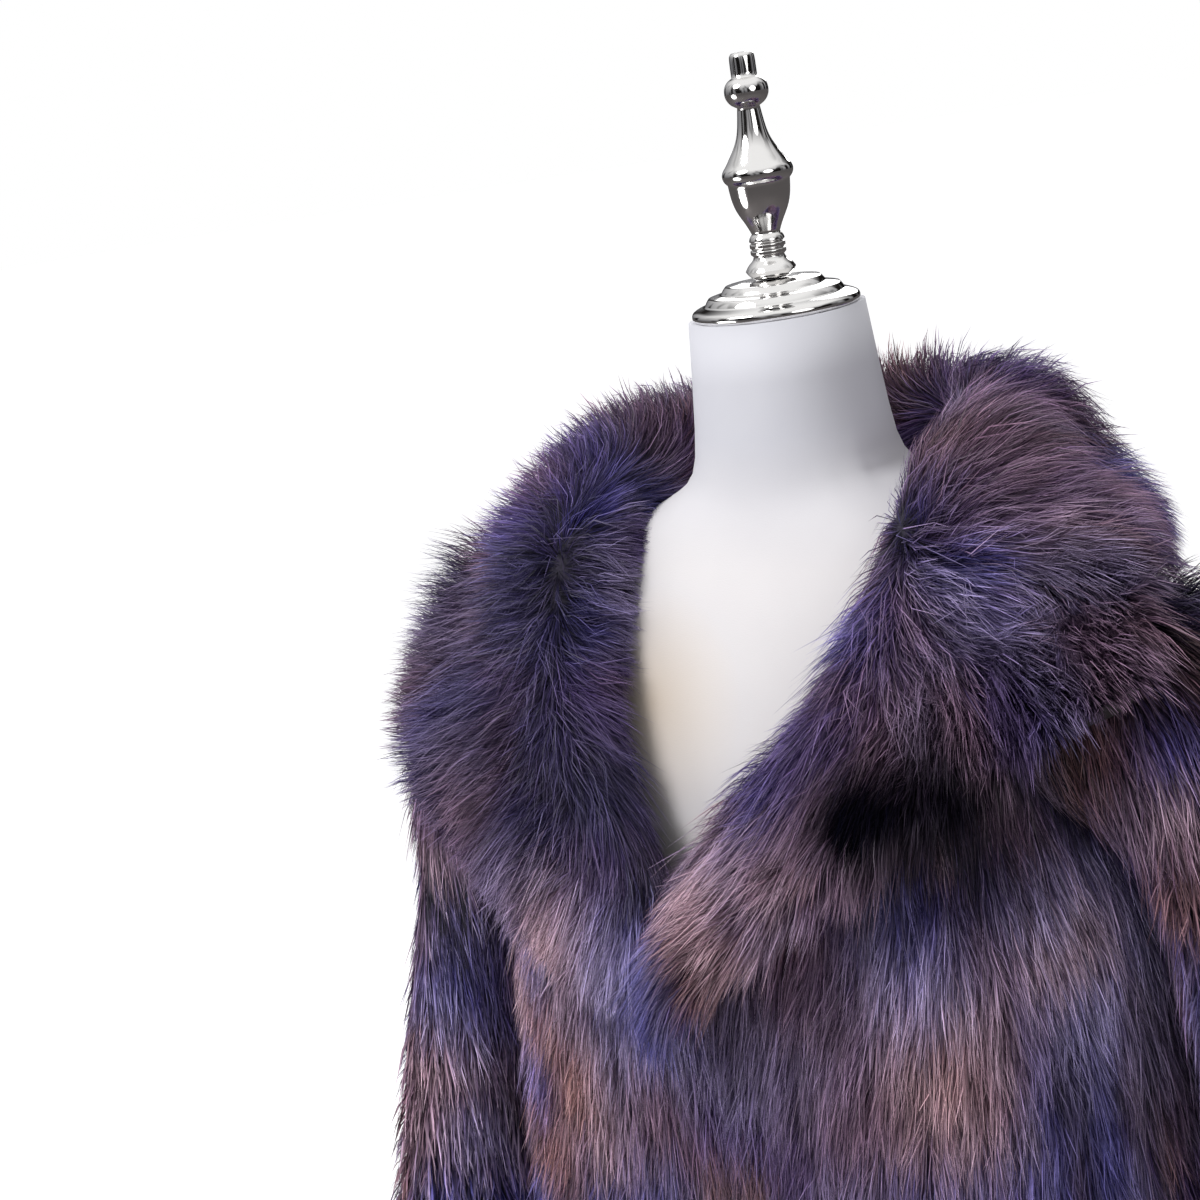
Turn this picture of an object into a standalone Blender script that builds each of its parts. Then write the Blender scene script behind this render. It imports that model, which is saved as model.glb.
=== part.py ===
"""A long-haired fur coat with a deep shawl collar, worn by a limbless dress form on a chrome stand.

Metres, +Z up. The origin is the centre of the stand's foot, on the floor. The form faces -Y, so +X is
the wearer's left. Every coat piece is a wall: its inner face is the leather and its outer face is where
the fur ends.
"""

import math
from collections import namedtuple

import bpy
import numpy as np
from mathutils import Vector
from mathutils.bvhtree import BVHTree

# ---------------------------------------------------------------- driving sizes

HEM_HEIGHT = 0.520  # leather hem of the body above the floor
V_HEIGHT = 1.190  # where the two fronts first meet, going up
UNDERARM_HEIGHT = 1.190
SHOULDER_POINT = 1.368  # top of the armhole
NECKLINE_HEIGHT = 1.398  # seam between body and collar at the shoulders and the back

BODY_FUR = 0.022  # leather to hair tips
SLEEVE_FUR = 0.021
COLLAR_FUR = 0.044
PRESSED_FUR = 0.003  # fur squeezed between body and sleeve, or under the collar
HEM_HAIR = 0.012  # hair that hangs below a leather edge
COLLAR_HAIR = 0.014  # the same below the collar's edge

SEAM_GAP = 0.00015  # each of two sewn pieces stops this far short of their seam
REST_LIFT = 0.0009  # the coat's leather above the form's shoulders, measured straight up
REST_ROOM = 0.004  # and out from them, at the front and the back
STAND_FUR = 0.012  # the collar's hair against the neck
COLLAR_CLEARANCE = 0.004  # collar above the fur that it lies on
FORM_CLEARANCE = 0.0015  # collar hair off the form
DRAPE_ROUNDS = 14
WALK_STEP = 0.010  # of the collar's line over the body
SEEN_FROM = 0.2  # how far outside the coat a point is looked at from
SQUARENESS = 2.3  # exponent of the superellipse rings
COLLAR_COLUMNS = 17
ARM_REACH = 36.0  # degrees from the side line to the armhole's front and back
CORE = Vector((0.19, 0.0, 1.27))  # half the width of the trunk's flat core, and its top

FORM_BOTTOM = 0.740
NECK_TOP = 1.520
POLE_RADIUS = 0.0125
FOOT_HEIGHT = 0.040
PART_GAP = 0.0003  # between hard pieces that stand on each other

Ring = namedtuple("Ring", "height half_width front back")

# The form from hip to neck.
FORM_SHOULDERS = [
    Ring(1.386, 0.134, 0.067, 0.074),
    Ring(1.398, 0.108, 0.063, 0.069),
    Ring(1.410, 0.082, 0.059, 0.064),
]
FORM = [
    Ring(0.740, 0.148, 0.098, 0.118),
    Ring(0.800, 0.167, 0.110, 0.134),
    Ring(0.870, 0.171, 0.111, 0.134),
    Ring(0.940, 0.152, 0.098, 0.112),
    Ring(1.020, 0.122, 0.085, 0.088),
    Ring(1.090, 0.131, 0.099, 0.092),
    Ring(1.160, 0.148, 0.124, 0.102),
    Ring(1.220, 0.160, 0.118, 0.108),
    Ring(1.280, 0.170, 0.103, 0.107),
    Ring(1.330, 0.174, 0.088, 0.098),
    Ring(1.352, 0.166, 0.080, 0.090),
    Ring(1.372, 0.153, 0.072, 0.081),
    *FORM_SHOULDERS,
    Ring(1.422, 0.066, 0.057, 0.059),
    Ring(1.445, 0.061, 0.056, 0.056),
    Ring(1.520, 0.0535, 0.0535, 0.0535),
]

FORM_SEGMENTS = 48
TURNED_SEGMENTS = 40
SLIM_SEGMENTS = 20
FORM_LID_SHARE = 0.90  # the rounded underside of the form, of its lowest ring
FORM_LID_DEPTH = 0.008
HIP_RINGS = 9  # rings of the form, from the lowest, that get one more between each two

# Turned pieces, as radius and height above their own lowest point.
Turn = namedtuple("Turn", "radius height")
FOOT = [
    Turn(0.186, 0.000),
    Turn(0.190, 0.004),
    Turn(0.190, 0.010),
    Turn(0.165, 0.018),
    Turn(0.150, 0.020),
    Turn(0.140, 0.026),
    Turn(0.070, 0.032),
    Turn(0.030, 0.036),
    Turn(0.022, FOOT_HEIGHT),
]
NECK_CAP = [
    Turn(0.0520, 0.0000),
    Turn(0.0530, 0.0015),
    Turn(0.0530, 0.0040),
    Turn(0.0515, 0.0060),
    Turn(0.0440, 0.0085),
    Turn(0.0430, 0.0105),
    Turn(0.0415, 0.0125),
    Turn(0.0330, 0.0145),
    Turn(0.0318, 0.0165),
    Turn(0.0300, 0.0185),
    Turn(0.0190, 0.0200),
]
FINIAL = [
    Turn(0.0105, 0.0000),
    Turn(0.0140, 0.0022),
    Turn(0.0160, 0.0055),
    Turn(0.0140, 0.0090),
    Turn(0.0105, 0.0115),
    Turn(0.0097, 0.0140),
    Turn(0.0113, 0.0155),
    Turn(0.0113, 0.0175),
    Turn(0.0100, 0.0185),
    Turn(0.0113, 0.0195),
    Turn(0.0113, 0.0215),
    Turn(0.0100, 0.0225),
    Turn(0.0113, 0.0235),
    Turn(0.0110, 0.0255),
    Turn(0.0089, 0.0280),
    Turn(0.0119, 0.0350),
    Turn(0.0165, 0.0425),
    Turn(0.0188, 0.0505),
    Turn(0.0196, 0.0595),
    Turn(0.0212, 0.0610),
    Turn(0.0225, 0.0635),
    Turn(0.0225, 0.0665),
    Turn(0.0212, 0.0690),
    Turn(0.0196, 0.0705),
    Turn(0.0165, 0.0755),
    Turn(0.0125, 0.0815),
    Turn(0.0095, 0.0885),
    Turn(0.0081, 0.0975),
    Turn(0.0071, 0.1050),
    Turn(0.0110, 0.1070),
    Turn(0.0136, 0.1110),
    Turn(0.0140, 0.1145),
    Turn(0.0134, 0.1185),
    Turn(0.0110, 0.1215),
    Turn(0.0081, 0.1230),
    Turn(0.0081, 0.1345),
    Turn(0.0076, 0.1365),
    Turn(0.0060, 0.1378),
]

# The leather of the coat's body. At the top it follows the form's shoulders.
COAT = [
    Ring(0.520, 0.284, 0.206, 0.202),
    Ring(0.660, 0.274, 0.197, 0.193),
    Ring(0.800, 0.262, 0.185, 0.182),
    Ring(0.920, 0.252, 0.173, 0.168),
    Ring(1.040, 0.241, 0.163, 0.154),
    Ring(1.140, 0.229, 0.158, 0.144),
    Ring(1.210, 0.215, 0.150, 0.136),
    Ring(1.270, 0.203, 0.133, 0.127),
    Ring(1.310, 0.190, 0.112, 0.116),
    Ring(1.331, 0.184, 0.092, 0.102),
    Ring(1.353, 0.174, 0.084, 0.094),
    Ring(1.373, 0.158, 0.076, 0.085),
    *[
        Ring(r.height + REST_LIFT, r.half_width, r.front + REST_ROOM, r.back + REST_ROOM)
        for r in FORM_SHOULDERS
    ],
]

# The neckline: half its width, and how far its middle lies towards the wearer's left.
Neckline = namedtuple("Neckline", "height half_width middle")
NECKLINE = [
    Neckline(1.190, 0.000, -0.037),
    Neckline(1.198, 0.014, -0.033),
    Neckline(1.220, 0.044, -0.022),
    Neckline(1.260, 0.078, -0.012),
    Neckline(1.300, 0.099, -0.005),
    Neckline(1.340, 0.105, -0.001),
    Neckline(1.380, 0.104, 0.000),
    Neckline(1.398, 0.101, 0.000),
]

# The line on which the fronts close.
Closure = namedtuple("Closure", "height x")
CLOSURE = [
    Closure(0.520, 0.020),
    Closure(0.900, 0.020),
    Closure(1.050, 0.009),
    Closure(1.150, -0.023),
    Closure(1.190, -0.037),
]

# Soft flutes of the skirt: direction from the centre front, half their width, depth at the hem.
Flute = namedtuple("Flute", "angle spread depth")
FLUTES = [
    Flute(24, 9, 0.012),
    Flute(52, 11, 0.016),
    Flute(83, 10, 0.010),
    Flute(118, 12, 0.018),
    Flute(151, 10, 0.013),
    Flute(187, 12, 0.016),
    Flute(222, 10, 0.014),
    Flute(251, 11, 0.010),
    Flute(283, 10, 0.012),
    Flute(312, 11, 0.017),
    Flute(338, 9, 0.012),
]
FLUTE_TOP = 1.00

FRONT_COLUMNS = 11
BACK_COLUMNS = 19
FINER_BACK_ENDS = 0.2

# A sleeve's leather tube below the armhole.
Tube = namedtuple("Tube", "height centre_x centre_y half_x half_y")
SLEEVE = [
    Tube(1.160, 0.281, 0.002, 0.042, 0.082),
    Tube(1.080, 0.298, 0.000, 0.049, 0.081),
    Tube(0.980, 0.318, -0.006, 0.054, 0.080),
    Tube(0.880, 0.337, -0.014, 0.056, 0.078),
    Tube(0.800, 0.350, -0.022, 0.057, 0.076),
]
CAP_ROWS = 7  # rings from the armhole to the top of the tube
TUBE_ROWS = 9

# The curve of the sleeve's cap: how it leaves the armhole, how it meets the tube, and the length of
# its two handles as a share of the way between.
CAP_DROP = 0.08  # next to the body
CAP_OUTER_DROP = 0.36  # more on the outer side
CAP_LEAVES = 0.42
TUBE_LEAN = 0.06
TUBE_MEETS = 0.36

# The collar from the centre back (share 0) to the tip of the lapel (share 1): how high its fold stands,
# how wide each half is from the neckline to its edge, and how far its fall turns from square to the
# neckline towards the ground, in degrees.
Lapel = namedtuple("Lapel", "share stand fall_left turn_left fall_right turn_right")
COLLAR = [
    Lapel(0.00, 0.054, 0.160, 0, 0.160, 0),
    Lapel(0.18, 0.058, 0.130, 4, 0.178, 0),
    Lapel(0.28, 0.055, 0.102, 18, 0.201, 0),
    Lapel(0.36, 0.051, 0.150, 40, 0.214, 0),
    Lapel(0.42, 0.046, 0.180, 42, 0.213, 1),
    Lapel(0.48, 0.041, 0.158, 22, 0.210, 4),
    Lapel(0.56, 0.036, 0.086, 6, 0.201, 8),
    Lapel(0.62, 0.034, 0.056, 8, 0.181, 10),
    Lapel(0.68, 0.031, 0.036, 14, 0.160, 14),
    Lapel(0.82, 0.022, 0.032, 30, 0.124, 30),
    Lapel(0.93, 0.010, 0.066, 56, 0.102, 56),
    Lapel(1.00, 0.001, 0.070, 84, 0.074, 84),
]

# One section of the collar's fold, in parts of its stand: away from the neck, and up.
Fold = namedtuple("Fold", "across up")
FOLD = [
    Fold(0.00, 0.00),
    Fold(-0.05, 0.45),
    Fold(0.04, 0.85),
    Fold(0.38, 1.00),
    Fold(0.95, 0.88),
]
FOLD_LENGTH = 2.0  # where the fold ends and the fall lies on the body, in parts of the stand
LEAST_FOLD = 0.03
FALL_POINTS = 5
FACET_ROUNDS = 3
RISE_UPWARD = 1.2  # of the fold: how much it stands up against square to the seam
LAPEL_FRONT = -0.08  # the neckline ahead of this y is the lapel's
LAPEL_WIDTH = 0.05  # half the opening at which the lapel takes its full stand
EVEN_PASSES = 5
FUR_GROWS = (0.04, 0.42)  # share of the collar's width from short hair at the neck to full hair
RIM_STARTS = 0.8  # share of the width from which the hair gets shorter to the rim
RIM_SHORTER = 0.22
TIP_STARTS = 0.85  # the same along the collar, to the lapel's tip
TIP_SHORTER = 0.35
CLEARING_STEP = 0.02  # of its distance, for a point that has to get off the form
NARROWING_STEP = 0.0005

# The height above which the collar covers the body, by direction from the centre front.
Cover = namedtuple("Cover", "angle height")
COLLAR_COVER = [
    Cover(0, 1.120),
    Cover(25, 1.150),
    Cover(50, 1.210),
    Cover(90, 1.285),
    Cover(180, 1.300),
]


# ---------------------------------------------------------------- curves


def smooth(rows, field, height):
    """A column of a table at any height, by monotone cubic interpolation."""
    x = np.array([row[0] for row in rows], float)
    y = np.array([getattr(row, field) for row in rows], float)
    if x[0] > x[-1]:
        x, y = x[::-1], y[::-1]
    step = np.diff(x)
    rise = np.diff(y) / step
    slope = np.zeros_like(y)
    same_way = rise[:-1] * rise[1:] > 0
    w1 = 2 * step[1:] + step[:-1]
    w2 = step[1:] + 2 * step[:-1]
    with np.errstate(divide="ignore", invalid="ignore"):
        mean = (w1 + w2) / (w1 / rise[:-1] + w2 / rise[1:])
    slope[1:-1] = np.where(same_way, mean, 0.0)
    slope[0], slope[-1] = rise[0], rise[-1]
    at = np.clip(np.asarray(height, float), x[0], x[-1])
    i = np.clip(np.searchsorted(x, at) - 1, 0, len(x) - 2)
    t = (at - x[i]) / step[i]
    return (
        y[i] * (1 + 2 * t) * (1 - t) ** 2
        + slope[i] * step[i] * t * (1 - t) ** 2
        + y[i + 1] * t * t * (3 - 2 * t)
        + slope[i + 1] * step[i] * t * t * (t - 1)
    )


def ease(value, low, high):
    """0 below low, 1 above high, and smooth between."""
    t = np.clip((np.asarray(value, float) - low) / (high - low), 0, 1)
    return t * t * (3 - 2 * t)


def rounded(value):
    """sin or cos bent so that the ring becomes a superellipse."""
    return np.sign(value) * np.abs(value) ** (2 / SQUARENESS)


def ring_point(rings, height, angle):
    """A point on a horizontal ring. angle is in degrees from the centre front, towards the wearer's left."""
    turn = np.radians(angle)
    across, ahead = rounded(np.sin(turn)), rounded(np.cos(turn))
    depth = np.where(
        ahead > 0, smooth(rings, "front", height), smooth(rings, "back", height)
    )
    x = smooth(rings, "half_width", height) * across
    return np.stack(np.broadcast_arrays(x, -depth * ahead, height), -1)


def coat_point(height, angle):
    """The coat's leather, with its flutes."""
    point = ring_point(COAT, height, angle)
    low = 1 - ease(height, HEM_HEIGHT, FLUTE_TOP)
    depth = np.zeros(np.shape(low))
    for flute in FLUTES:
        away = (np.asarray(angle) - flute.angle + 180) % 360 - 180
        depth = depth + flute.depth * np.exp(-((away / flute.spread) ** 2))
    outward = point * [1, 1, 0]
    outward = outward / np.linalg.norm(outward, axis=-1, keepdims=True)
    return point - outward * (low * depth)[..., None]


def angle_at(height, x):
    """The front angle at which the ring passes a given x."""
    share = np.abs(x) / smooth(COAT, "half_width", height)
    return np.sign(x) * np.degrees(np.arcsin(np.clip(share, 0, 1) ** (SQUARENESS / 2)))


# ---------------------------------------------------------------- levels and edges of the body

BELOW_ARM = np.linspace(HEM_HEIGHT, UNDERARM_HEIGHT, 13)[:-1]
ARM_STEPS = 13
ARM_EVEN = np.linspace(0, 1, ARM_STEPS)
ARM_SHARE = 0.25 * ARM_EVEN + 0.75 * (1 - np.cos(math.pi * ARM_EVEN)) / 2
ARM_LEVELS = UNDERARM_HEIGHT + (SHOULDER_POINT - UNDERARM_HEIGHT) * ARM_SHARE
ARM_OPENING = ARM_REACH * np.sin(math.pi * ARM_SHARE)
ARM_OPENING[[0, -1]] = 0
SLOPE_LEVELS = np.linspace(SHOULDER_POINT, NECKLINE_HEIGHT, 5)[1:]
LEVELS = np.concatenate([BELOW_ARM, ARM_LEVELS, SLOPE_LEVELS])
OPENING = np.concatenate([0 * BELOW_ARM, ARM_OPENING, 0 * SLOPE_LEVELS])


def front_edge(side):
    """The angle of a front's inner edge at each level: the closure up to the V, then the neckline."""
    closure = smooth(CLOSURE, "x", LEVELS)
    middle = smooth(NECKLINE, "middle", LEVELS)
    neckline = middle + side * smooth(NECKLINE, "half_width", LEVELS)
    return angle_at(LEVELS, np.where(LEVELS > V_HEIGHT, neckline, closure))


def side_edge(side, behind):
    """The angle of the side seam, armhole and shoulder seam at each level, on the front or the back."""
    return side * (90 + (OPENING if behind else -OPENING))


def panel(start, end, columns):
    """Leather points between two edges: one row for each level."""
    share = np.asarray(columns)[None, :]
    angles = start[:, None] * (1 - share) + end[:, None] * share
    return coat_point(np.broadcast_to(LEVELS[:, None], angles.shape), angles)


def columns(count, ends_finer=0.0):
    """Shares from 0 to 1, closer together at the ends if asked."""
    even = np.linspace(0, 1, count)
    eased = (1 - np.cos(math.pi * even)) / 2
    return even * (1 - ends_finer) + eased * ends_finer


# ---------------------------------------------------------------- sleeves


def armhole(side):
    """The armhole as a loop: underarm, up the front, shoulder point, down the back."""
    front = coat_point(ARM_LEVELS, side * (90 - ARM_OPENING))
    back = coat_point(ARM_LEVELS, side * (90 + ARM_OPENING))
    return np.concatenate([front, back[-2:0:-1]])


def sleeve_ring(row, side, turn):
    """A horizontal ring of the sleeve. turn is 0 next to the body and half a turn on the outer side."""
    x = row.centre_x - row.half_x * rounded(np.cos(turn))
    y = row.centre_y - row.half_y * rounded(np.sin(turn))
    return np.stack([side * x, y, np.full(len(turn), row.height)], -1)


def sleeve_grid(side):
    """Leather points of a sleeve: rings from the armhole over the cap and down to the cuff."""
    start = armhole(side)
    turn = np.linspace(0, 2 * math.pi, len(start) + 1)[:-1]
    first = sleeve_ring(SLEEVE[0], side, turn)
    reach = np.linalg.norm(first - start, axis=1, keepdims=True)
    outer = (1 - np.cos(turn)) / 2
    away = np.stack([side * np.ones(len(turn)), 0 * turn, -CAP_DROP - CAP_OUTER_DROP * outer], -1)
    away /= np.linalg.norm(away, axis=1, keepdims=True)
    down = np.array([side * TUBE_LEAN, 0.0, -1.0])
    rings = []
    for t in np.linspace(0, 1, CAP_ROWS):
        one = start
        two = start + away * reach * CAP_LEAVES
        three = first - down * reach * TUBE_MEETS
        rings.append(
            one * (1 - t) ** 3
            + two * 3 * t * (1 - t) ** 2
            + three * 3 * t * t * (1 - t)
            + first * t**3
        )
    top, bottom = SLEEVE[0].height, SLEEVE[-1].height
    for height in np.linspace(top, bottom, TUBE_ROWS)[1:]:
        row = Tube(
            height,
            *[float(smooth(SLEEVE, field, height)) for field in Tube._fields[1:]],
        )
        rings.append(sleeve_ring(row, side, turn))
    return np.array(rings)


# ---------------------------------------------------------------- fur depth

BESIDE_SLEEVE = (12, 34)  # degrees from the side line: where the body's hair is flat, and where it is free
BELOW_CUFF = (0.775, 0.835)  # heights between which the sleeve begins to press
SLEEVE_PRESSES_TO = 1.30
COVER_BLEND = (-0.012, 0.020)  # round the collar's cover height
OUTER_SIDE = (0.10, 0.42)  # share of the way round the sleeve between flat and free hair
SLEEVE_COVER = (1.270, 1.315)  # heights between which the collar covers the sleeve


def body_fur(points):
    """How far the hair reaches from the body's leather: less next to the sleeves and under the collar."""
    x, y, z = points[..., 0], points[..., 1], points[..., 2]
    angle = np.degrees(np.arctan2(np.abs(x), -y))
    beside_sleeve = (1 - ease(np.abs(angle - 90), *BESIDE_SLEEVE)) * ease(z, *BELOW_CUFF)
    beside_sleeve = np.where(z > SLEEVE_PRESSES_TO, 0, beside_sleeve)
    above_cover = z - smooth(COLLAR_COVER, "height", angle)
    pressed = np.maximum(beside_sleeve, ease(above_cover, *COVER_BLEND))
    return BODY_FUR + (PRESSED_FUR - BODY_FUR) * pressed


def sleeve_fur(points, turn):
    """The same for a sleeve: pressed on the side next to the body and under the collar."""
    z = points[..., 2]
    outer = (1 - np.cos(turn)) / 2
    free = ease(outer, *OUTER_SIDE) * (1 - ease(z, *SLEEVE_COVER))
    return PRESSED_FUR + (SLEEVE_FUR - PRESSED_FUR) * free


# ---------------------------------------------------------------- walls


def even_out(values, passes):
    """Averages each row with the rows before and after it, with the first and the last row held."""
    values = np.array(values)
    for _ in range(passes):
        values[1:-1] = values[1:-1] / 2 + (values[:-2] + values[2:]) / 4
    return values


def grid_normals(grids):
    """Outward unit normals of grids that share their seam points, so that sewn walls meet squarely."""
    sums, found = {}, []
    for points, wraps in grids:
        up = np.gradient(points, axis=0)
        across = np.gradient(points, axis=1)
        if wraps:
            across = np.roll(points, -1, axis=1) - np.roll(points, 1, axis=1)
        normal = np.cross(up, across)
        normal /= np.maximum(np.linalg.norm(normal, axis=-1, keepdims=True), 1e-12)
        middle = points.mean(axis=1, keepdims=True) if wraps else np.zeros(3)
        normal *= np.sign(((points - middle) * [1, 1, 0] * normal).sum())
        keys = np.round(points * 2e4).astype(int)
        found.append((keys, normal))
        for key, one in zip(keys.reshape(-1, 3), normal.reshape(-1, 3)):
            sums[tuple(key)] = sums.get(tuple(key), 0) + one
    shared = []
    for keys, normal in found:
        total = np.array([sums[tuple(key)] for key in keys.reshape(-1, 3)])
        total = (total / np.linalg.norm(total, axis=-1, keepdims=True)).reshape(normal.shape)
        for _ in range(2):
            total[1:-1, 1:-1] += even_out(total, 1)[1:-1, 1:-1]
            total[1:-1, 1:-1] += even_out(total.swapaxes(0, 1), 1).swapaxes(0, 1)[1:-1, 1:-1]
            total /= np.linalg.norm(total, axis=-1, keepdims=True)
        shared.append(total)
    return shared


def borders(rows, count, wraps):
    """The border of a grid as loops of (row, column), each with the places one step inside it."""
    across = [(c, c) for c in range(count)]
    if wraps:
        return [
            [((row, c), (beside, c)) for c, _ in across] for row, beside in ((0, 1), (-1, -2))
        ]
    low = [((0, c), (1, c)) for c in range(count - 1)]
    right = [((r, count - 1), (r, count - 2)) for r in range(rows - 1)]
    high = [((rows - 1, c), (rows - 2, c)) for c in range(count - 1, 0, -1)]
    left = [((r, 0), (r, 1)) for r in range(rows - 1, 0, -1)]
    return [low + right + high + left]


def short_of_seams(grid, wraps, gap=SEAM_GAP):
    """Moves the border of a grid inwards, square to each of its edges."""
    moved = grid.copy()
    for loop in borders(*grid.shape[:2], wraps):
        edge = np.array([grid[place] for place, _ in loop])
        inside = np.array([grid[place] for _, place in loop])
        after = np.roll(edge, -1, axis=0)
        along_edge = after - edge
        along_edge /= np.linalg.norm(along_edge, axis=1, keepdims=True)
        way = inside + np.roll(inside, -1, axis=0) - edge - after
        way -= along_edge * (way * along_edge).sum(1, keepdims=True)
        way /= np.linalg.norm(way, axis=1, keepdims=True)
        before = np.roll(way, 1, axis=0)
        corner = 1 + np.maximum((way * before).sum(1, keepdims=True), -0.5)
        for (place, _), step in zip(loop, gap * (way + before) / corner):
            moved[place] += step
    return moved


def add_object(name, points, faces, material, smooth_angle=40):
    """One mesh object with its faces turned outwards."""
    mesh = bpy.data.meshes.new(name)
    mesh.from_pydata([tuple(p) for p in points], [], faces)
    mesh.validate()
    volume = 0.0
    for face in mesh.polygons:
        corners = [mesh.vertices[i].co for i in face.vertices]
        for second, third in zip(corners[1:], corners[2:]):
            volume += corners[0].dot(second.cross(third))
    if volume < 0:
        mesh.flip_normals()
    mesh.materials.append(material)
    mesh.shade_smooth()
    mesh.set_sharp_from_angle(angle=math.radians(smooth_angle))
    made = bpy.data.objects.new(name, mesh)
    bpy.context.scene.collection.objects.link(made)
    return made


def split(quad, points):
    """A four-cornered facet as two triangles, cut along its shorter diagonal."""
    a, b, c, d = (points[i] for i in quad)
    if np.linalg.norm(c - a) > np.linalg.norm(d - b) + 1e-7:
        quad = [*quad[1:], quad[0]]
    return [quad[:3], [quad[0], *quad[2:]]]


def add_wall(name, inner, outer, wraps, material):
    """A closed wall between two grids of the same shape."""
    rows, count = inner.shape[:2]
    points = np.concatenate([inner.reshape(-1, 3), outer.reshape(-1, 3)])
    shift = rows * count
    spans = count if wraps else count - 1
    faces = []

    def at(row, column):
        return row * count + column % count

    for r in range(rows - 1):
        for c in range(spans):
            quad = [at(r, c), at(r, c + 1), at(r + 1, c + 1), at(r + 1, c)]
            faces += split(quad, points)
            faces += split([shift + i for i in reversed(quad)], points)
    edges = [(at(0, c + 1), at(0, c)) for c in range(spans)]
    edges += [(at(rows - 1, c), at(rows - 1, c + 1)) for c in range(spans)]
    if not wraps:
        edges += [(at(r, 0), at(r + 1, 0)) for r in range(rows - 1)]
        edges += [(at(r + 1, count - 1), at(r, count - 1)) for r in range(rows - 1)]
    for a, b in edges:
        faces += split([a, b, shift + b, shift + a], points)
    return add_object(name, points, faces, material)


def add_turned(name, profile, segments, material, smooth_angle=40):
    """A turned piece from (radius, height) pairs, from its lowest point to its highest."""
    points, faces = [], []
    for radius, height in profile:
        for i in range(segments):
            turn = 2 * math.pi * i / segments
            points.append((radius * math.cos(turn), radius * math.sin(turn), height))
    for ring in range(len(profile) - 1):
        for i in range(segments):
            a, b = ring * segments + i, ring * segments + (i + 1) % segments
            faces.append([a, b, b + segments, a + segments])
    faces.append(list(reversed(range(segments))))
    last = (len(profile) - 1) * segments
    faces.append(list(range(last, last + segments)))
    return add_object(name, points, faces, material, smooth_angle)


def surface(name, colour, roughness, metallic=0.0):
    """A plain Principled material."""
    made = bpy.data.materials.new(name)
    made.use_nodes = True
    shader = made.node_tree.nodes["Principled BSDF"]
    shader.inputs["Base Color"].default_value = (*colour, 1)
    shader.inputs["Roughness"].default_value = roughness
    shader.inputs["Metallic"].default_value = metallic
    return made


# ---------------------------------------------------------------- collar

Stop = namedtuple("Stop", "leather fur inward")  # a place on the neckline edge of a body piece


def neckline_stops(walls):
    """The body's neckline edge from the left side of the V round the back to the right side of the V."""
    first = len(BELOW_ARM)
    stops = {}
    for name in ("front_left", "front_right"):
        leather, fur = walls[name]
        edge = []
        for row in range(first, len(LEVELS)):
            inward = leather[row, 0] - leather[row, 1]
            if row == len(LEVELS) - 1:
                inward = inward / np.linalg.norm(inward)
                up = leather[row, 0] - leather[row - 1, 0]
                inward = inward + up / np.linalg.norm(up)
            edge.append(Stop(leather[row, 0], fur[row, 0], inward))
        for column in (3, 6, 9):
            edge.append(
                Stop(
                    leather[-1, column],
                    fur[-1, column],
                    leather[-1, column] - leather[-2, column],
                )
            )
        stops[name] = edge
    leather, fur = walls["back"]
    back = [
        Stop(leather[-1, c], fur[-1, c], leather[-1, c] - leather[-2, c])
        for c in range(leather.shape[1])
    ]
    return stops["front_left"] + back + stops["front_right"][::-1]


def away_from_core(point):
    """The direction from a flat core inside the trunk and the shoulders towards a point on the coat."""
    core = Vector((max(-CORE.x, min(CORE.x, point.x)), 0, min(point.z, CORE.z)))
    return (point - core).normalized()


def outermost(tree, point, lift):
    """The place on the coat's fur in line with a point, seen from outside, and lifted by a distance."""
    away = away_from_core(point)
    found = tree.ray_cast(point + away * SEEN_FROM, -away)[0]
    return (found if found is not None else point) + away * lift


def slide(tree, start, heading, length):
    """Walks straight ahead over the fur. Returns a function that gives the place at a distance."""
    places = [start]
    gone = [0.0]
    while gone[-1] < length:
        ahead = outermost(tree, places[-1] + heading * WALK_STEP, COLLAR_CLEARANCE)
        gone.append(gone[-1] + (ahead - places[-1]).length)
        away = away_from_core(ahead)
        places.append(ahead)
        heading = heading - away * heading.dot(away)
        heading.normalize()
    track = np.array(places)
    return lambda distance: [np.interp(distance, gone, track[:, k]) for k in range(3)]


def along(points, count):
    """Evenly spaced points on a Catmull-Rom curve through the given points."""
    points = np.array(points)
    ends = [2 * points[0] - points[1], *points, 2 * points[-1] - points[-2]]
    dense = []
    for a, b, c, d in zip(ends, ends[1:], ends[2:], ends[3:]):
        for t in np.linspace(0, 1, 8, endpoint=False):
            dense.append(
                0.5
                * (
                    2 * b
                    + (c - a) * t
                    + (2 * a - 5 * b + 4 * c - d) * t * t
                    + (3 * b - a - 3 * c + d) * t**3
                )
            )
    dense.append(points[-1])
    dense = np.array(dense)
    gone = np.concatenate(
        [[0], np.cumsum(np.linalg.norm(np.diff(dense, axis=0), axis=1))]
    )
    wanted = np.linspace(0, gone[-1], count)
    return np.stack([np.interp(wanted, gone, dense[:, k]) for k in range(3)], -1)


def drape(grid, support):
    """Pulls the collar tight, so that it bridges hollows, and keeps it above the body's fur."""
    hold = ease(np.arange(grid.shape[1]), 0, 5)[None, :, None]
    for _ in range(DRAPE_ROUNDS):
        tight = even_out(grid, 1)
        tight[1:-1, 1:-1] += (tight[1:-1, :-2] + tight[1:-1, 2:] - 2 * tight[1:-1, 1:-1]) * 0.06
        grid = grid + (tight - grid) * hold
        for row in grid:
            for k in range(2, len(row)):
                point = Vector(row[k])
                low = outermost(support, point, COLLAR_CLEARANCE)
                if (point - low).dot(away_from_core(point)) < 0:
                    row[k] = low
    return grid


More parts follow.
